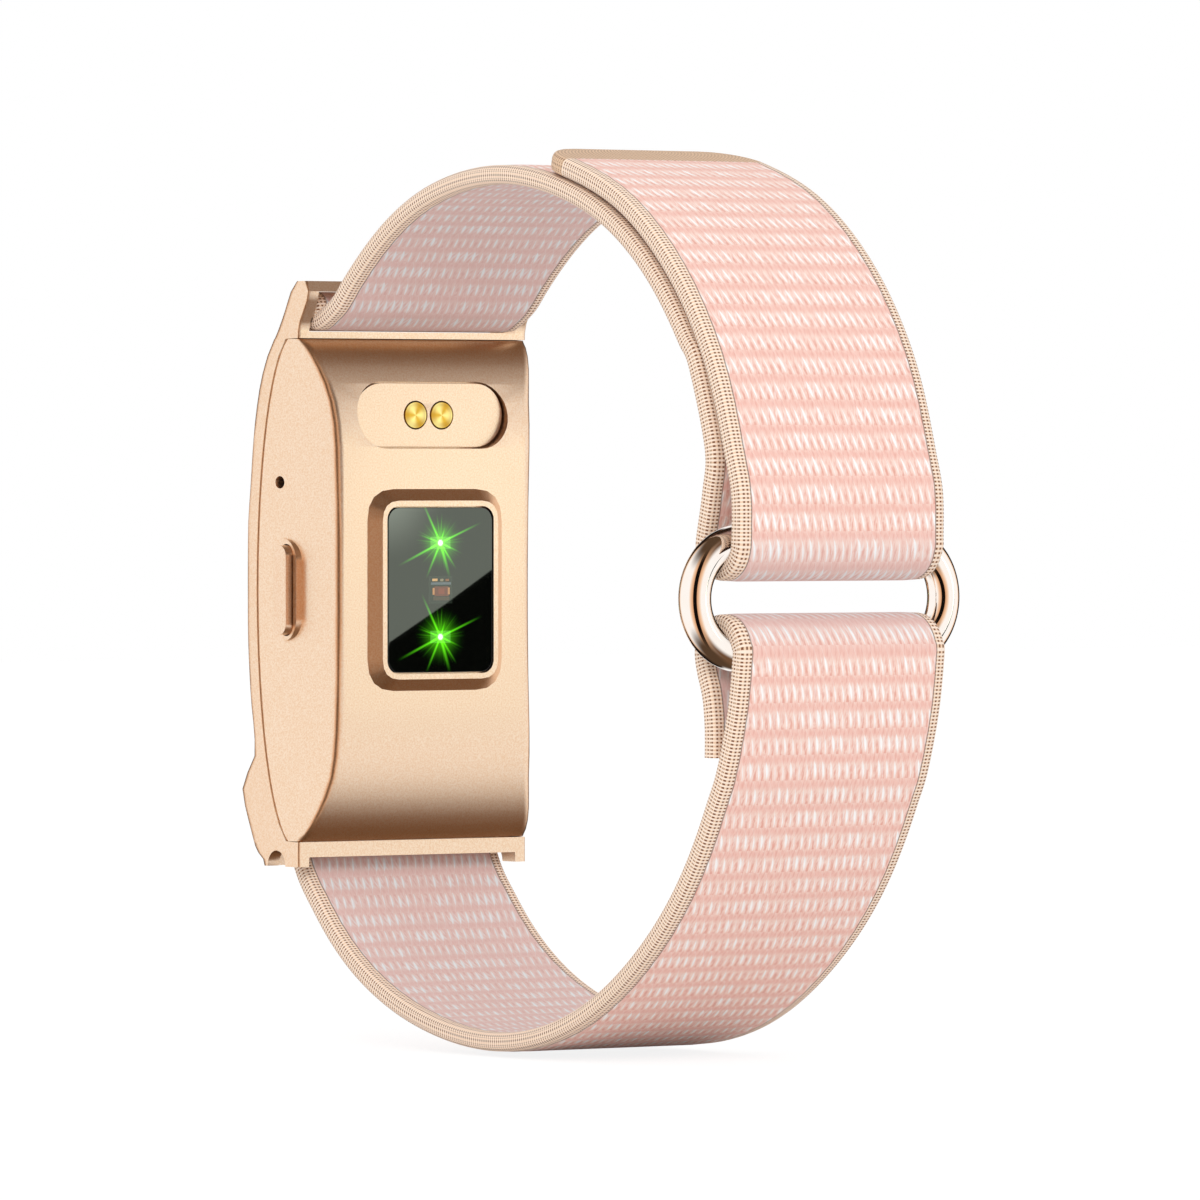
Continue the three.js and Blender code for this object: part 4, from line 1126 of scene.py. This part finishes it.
def upper_painted_shade(along, outer):
    """The inner face is painted shaded, as far as the fold round the ring."""
    return 0.0 if outer else 1.0 - ramp(along, *painted_shade_ends)


def tab_painted_shade(along, outer):
    """The face that shows goes on from the fold and is painted shaded all along, and the other one
    lies on the upper strap, painted shaded until just past the fold.
    """
    return 1.0 if outer else 1.0 - ramp(along, *painted_shade_ends)


def lower_painted_shade(along, outer):
    """The inner face is painted shaded, and from the fold round the ring the outer face is too."""
    return ramp(along, *lower_painted_shade_starts) if outer else 1.0


upper_strap = band("upper_strap_webbing", upper_route, painted_shade_at=upper_painted_shade)
upper_strap = joined(upper_strap, pin_loop("upper_pin_loop", UPPER_PIN))
upper_strap.visible_glossy = False
dress(upper_strap, webbing, "upper_band", "upper_strap")

tab_body, tab_end = cut(tab_route, TIP_LENGTH)
closure_tab = band(
    "closure_tab_webbing", tab_body, upper_end - FOLD_OVERLAP,
    painted_shade_at=tab_painted_shade, overlap=FOLD_OVERLAP,
)
dress(closure_tab, webbing, None, "closure_tab")
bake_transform(closure_tab)

tab_tip = band(
    "closure_tab_tip", tab_end, 0.0, outer_left=False, width_at=tip_width, relief=0.0,
    station=TIP_STATION,
)
dress(tab_tip, tip_cloth, "tab", "tab_tip")

patch_route = cut(cut(tab_route, TIP_LENGTH + PATCH_MARGIN)[0], PATCH_LENGTH)[1]
hook_patch = band(
    "hook_patch_tape", patch_route, 0.0, outer_left=False, relief=0.0,
    half_width=PATCH_HALF_WIDTH, half_thickness=PATCH_HEIGHT / 2,
    shift=PATCH_SINK - STRAP_HALF_THICKNESS, station=PATCH_STATION,
)
dress(hook_patch, hook_mat, "tab", "hook_patch")

lower_strap = band("lower_strap_webbing", lower_route, outer_left=False, painted_shade_at=lower_painted_shade)
lower_strap = joined(lower_strap, pin_loop("lower_pin_loop", LOWER_PIN))
lower_strap.visible_glossy = False
dress(lower_strap, webbing, "lower_band", "lower_strap")


# ---- pieces kept from the CAD

KEPT_FINISHES = {
    front_glass: ["front_glass"],
    seal_rubber: ["glass_gasket", "button_seal"],
    display: ["display_panel"],
    flex_film: ["display_flex", "switch_flex"],
    inner_plastic: [
        "chassis", "light_wall", "vent_membrane", "photodiode", "vibration_motor",
        "button_switch",
    ],
    battery_pouch: ["battery"],
    board: ["main_board", "sensor_board"],
    bright_steel: [
        "shield_can", "board_screw_left", "board_screw_right", "upper_pin_tube", "lower_pin_tube",
        "upper_pin_tip_left", "upper_pin_tip_right", "lower_pin_tip_left", "lower_pin_tip_right",
    ],
    green_led: ["led_upper", "led_lower"],
}
for finish, names in KEPT_FINISHES.items():
    for name in names:
        paint(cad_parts[name], finish)


# ---- studio

CAMERA_DISTANCE = 0.840
CAMERA_AZIMUTH = math.radians(54.2)
CAMERA_ELEVATION = math.radians(0.69)
CAMERA_AIM = 0.0009
CAMERA_LENS = 315
SENSOR_WIDTH = 36
FLOOR_RISE = -0.0364
FLOOR_SIZE = 3.0
FLOOR_GLOW = 1.08
FLOOR_GLOW_SHARE = 0.8
WORLD_LIGHT = 0.84
WHITE = (1, 1, 1, 1)
FLOOR_WHITE = (0.92, 0.92, 0.92, 1)
# The window's cards, in mm: how far out they stand, the line where the pale one meets the dark one,
# and the brightest spot and its reach.
CARD_X = 126
CARD_LINE = ((-9, -5.8), (9, 4.14))
CARD_BRIGHT_SPOT = (-5.6, 9.2)
CARD_BRIGHT_REACH = 8

scene = bpy.context.scene
scene.view_settings.view_transform = "Standard"

toward = Vector((
    math.sin(CAMERA_AZIMUTH) * math.cos(CAMERA_ELEVATION),
    -math.cos(CAMERA_AZIMUTH) * math.cos(CAMERA_ELEVATION),
    math.sin(CAMERA_ELEVATION),
))
rightward = Vector((math.cos(CAMERA_AZIMUTH), math.sin(CAMERA_AZIMUTH), 0))


def add_camera():
    data = bpy.data.cameras.new("photo_camera")
    data.lens = CAMERA_LENS
    data.sensor_width = SENSOR_WIDTH
    data.clip_start = 0.01
    data.clip_end = 20
    camera = bpy.data.objects.new("photo_camera", data)
    scene.collection.objects.link(camera)
    spot = toward * CAMERA_DISTANCE
    aim = rightward * -CAMERA_AIM
    camera.location = spot
    camera.rotation_euler = (aim - spot).to_track_quat("-Z", "Y").to_euler()
    scene.camera = camera


# What metal mirrors all round, in degrees from the camera's direction to either side.
STUDIO_RING = (
    (0, "#120D0A"), (12, "#120D0A"), (14, "#D9A37A"), (30, "#F4D2B4"), (44, "#FFFFFF"),
    (118, "#FFFFFF"), (133, "#EDC29C"), (138, "#1C1410"), (171, "#1C1410"), (175, "#FFFFFF"),
)


def looked_at(tree, rays):
    """1 on rays from the camera, straight, mirrored or through glass, and 0 on the others."""
    bent = add(
        tree, "Math MAXIMUM", rays.outputs["Is Glossy Ray"], rays.outputs["Is Transmission Ray"]
    )
    return add(tree, "Math MAXIMUM", rays.outputs["Is Camera Ray"], bent)


def add_world():
    """A white studio. Metal sees white cloth on both sides, peach cloth next to the dark strip
    behind the camera, dark strips beside the backdrop, and warm brown above and below, which
    reaches nearer to level on the camera's right."""
    world = bpy.data.worlds.new("studio")
    scene.world = world
    world.use_nodes = True
    tree = world.node_tree
    tree.nodes.clear()
    direction = add(tree, "TexCoord").outputs["Generated"]
    flat_toward = Vector((toward.x, toward.y, 0)).normalized()
    ahead = add(tree, "VectorMath DOT_PRODUCT", direction, flat_toward)
    aside = add(tree, "VectorMath DOT_PRODUCT", direction, rightward)
    turn = add(
        tree, "Math DIVIDE",
        add(tree, "Math ABSOLUTE", add(tree, "Math ARCTAN2", aside, ahead)),
        math.pi,
    )
    ring = add(tree, "ValToRGB", turn)
    stops = ring.color_ramp.elements
    for number, (degrees, code) in enumerate(STUDIO_RING):
        stop = stops[number] if number < 2 else stops.new(degrees / 180)
        stop.position = degrees / 180
        stop.color = colour(code)
    rise = add(tree, "Math ABSOLUTE", add(tree, "SeparateXYZ", direction).outputs["Z"])
    above = add(tree, "MapRange SMOOTHSTEP", rise, 0.56, 0.92)
    seen = add(tree, "Mix RGBA", above, ring.outputs["Color"], colour("#54402F"))
    above_right = add(tree, "MapRange SMOOTHSTEP", rise, 0.3, 0.72)
    right = add(tree, "MapRange SMOOTHSTEP", aside, 0.1, 0.5)
    above_right = add(tree, "Math MULTIPLY", above_right, right)
    seen = add(tree, "Mix RGBA", above_right, seen, colour("#6E5039"))
    rays = add(tree, "LightPath")
    seen = add(tree, "Mix RGBA", rays.outputs["Is Camera Ray"], seen, WHITE)
    light = add(tree, "Background", WHITE, WORLD_LIGHT)
    view = add(tree, "Background", seen, 1.0)
    add(tree, "OutputWorld", add(tree, "MixShader", looked_at(tree, rays), light, view))


def mirrored(across, rise):
    """The point at the cards' distance that the camera sees mirrored at that point of the window,
    in mm."""
    window_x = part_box("sensor_window")[1].x / MM
    eye = toward * CAMERA_DISTANCE / MM
    share = (CARD_X - window_x) / (eye.x - window_x)
    return Vector((
        CARD_X * MM,
        (across + share * (across - eye.y)) * MM,
        (rise + share * (rise - eye.z)) * MM,
    ))


def empty_material(piece, name):
    """Gives the piece a material without nodes, and returns its node tree."""
    made = bpy.data.materials.new(name)
    made.use_nodes = True
    made.node_tree.nodes.clear()
    paint(piece, made)
    return made.node_tree


def add_window_card(name, corners, code, strength, bright_strength):
    """A small studio card that only the polished window mirrors, brighter toward the window's
    upper left corner."""
    bpy.ops.object.select_all(action="DESELECT")
    bpy.ops.mesh.primitive_plane_add(size=1)
    card = bpy.context.object
    card.name = name
    for vertex, corner in zip(card.data.vertices, corners):
        vertex.co = mirrored(*corner)
    tree = empty_material(card, name)
    bright_place = tuple(mirrored(*CARD_BRIGHT_SPOT))
    distance = add(
        tree, "VectorMath DISTANCE", add(tree, "TexCoord").outputs["Object"], bright_place
    )
    fade = add(tree, "MapRange SMOOTHSTEP", distance, 0.0, CARD_BRIGHT_REACH * MM)
    power = add(tree, "Math MULTIPLY_ADD", fade, strength - bright_strength, bright_strength)
    glow = add(tree, "Emission", colour(code), power)
    add(tree, "OutputMaterial", glow)
    card.visible_camera = False
    card.visible_diffuse = False
    card.visible_shadow = False
    card.visible_transmission = False


def add_floor():
    bpy.ops.object.select_all(action="DESELECT")
    bpy.ops.mesh.primitive_plane_add(size=FLOOR_SIZE, location=(0, 0, FLOOR_RISE))
    floor = bpy.context.object
    floor.name = "studio_floor"
    tree = empty_material(floor, "matt_white_board")
    matt = add(tree, "BsdfDiffuse", FLOOR_WHITE)
    white = add(tree, "Emission", WHITE, FLOOR_GLOW)
    share = add(tree, "Math MULTIPLY", looked_at(tree, add(tree, "LightPath")), FLOOR_GLOW_SHARE)
    add(tree, "OutputMaterial", add(tree, "MixShader", share, matt, white))
    floor.visible_glossy = False


def add_lamp(name, place_m, size_m, watts):
    data = bpy.data.lights.new(name, "AREA")
    data.shape = "DISK"
    data.size = size_m
    data.energy = watts
    lamp = bpy.data.objects.new(name, data)
    scene.collection.objects.link(lamp)
    lamp.location = place_m
    lamp.rotation_euler = (-Vector(place_m)).to_track_quat("-Z", "Y").to_euler()
    lamp.visible_glossy = False


add_camera()
add_world()
add_floor()
add_lamp("key_softbox", place_m=(0.75, -0.7, 0.6), size_m=0.5, watts=4.0)
add_window_card("pale_card", (*CARD_LINE, (-9, 16), (9, 16)), "#C4CDBD", 5.0, 12.0)
add_window_card("dark_card", ((-9, -16), (9, -16), *CARD_LINE), "#000000", 1.0, 1.0)
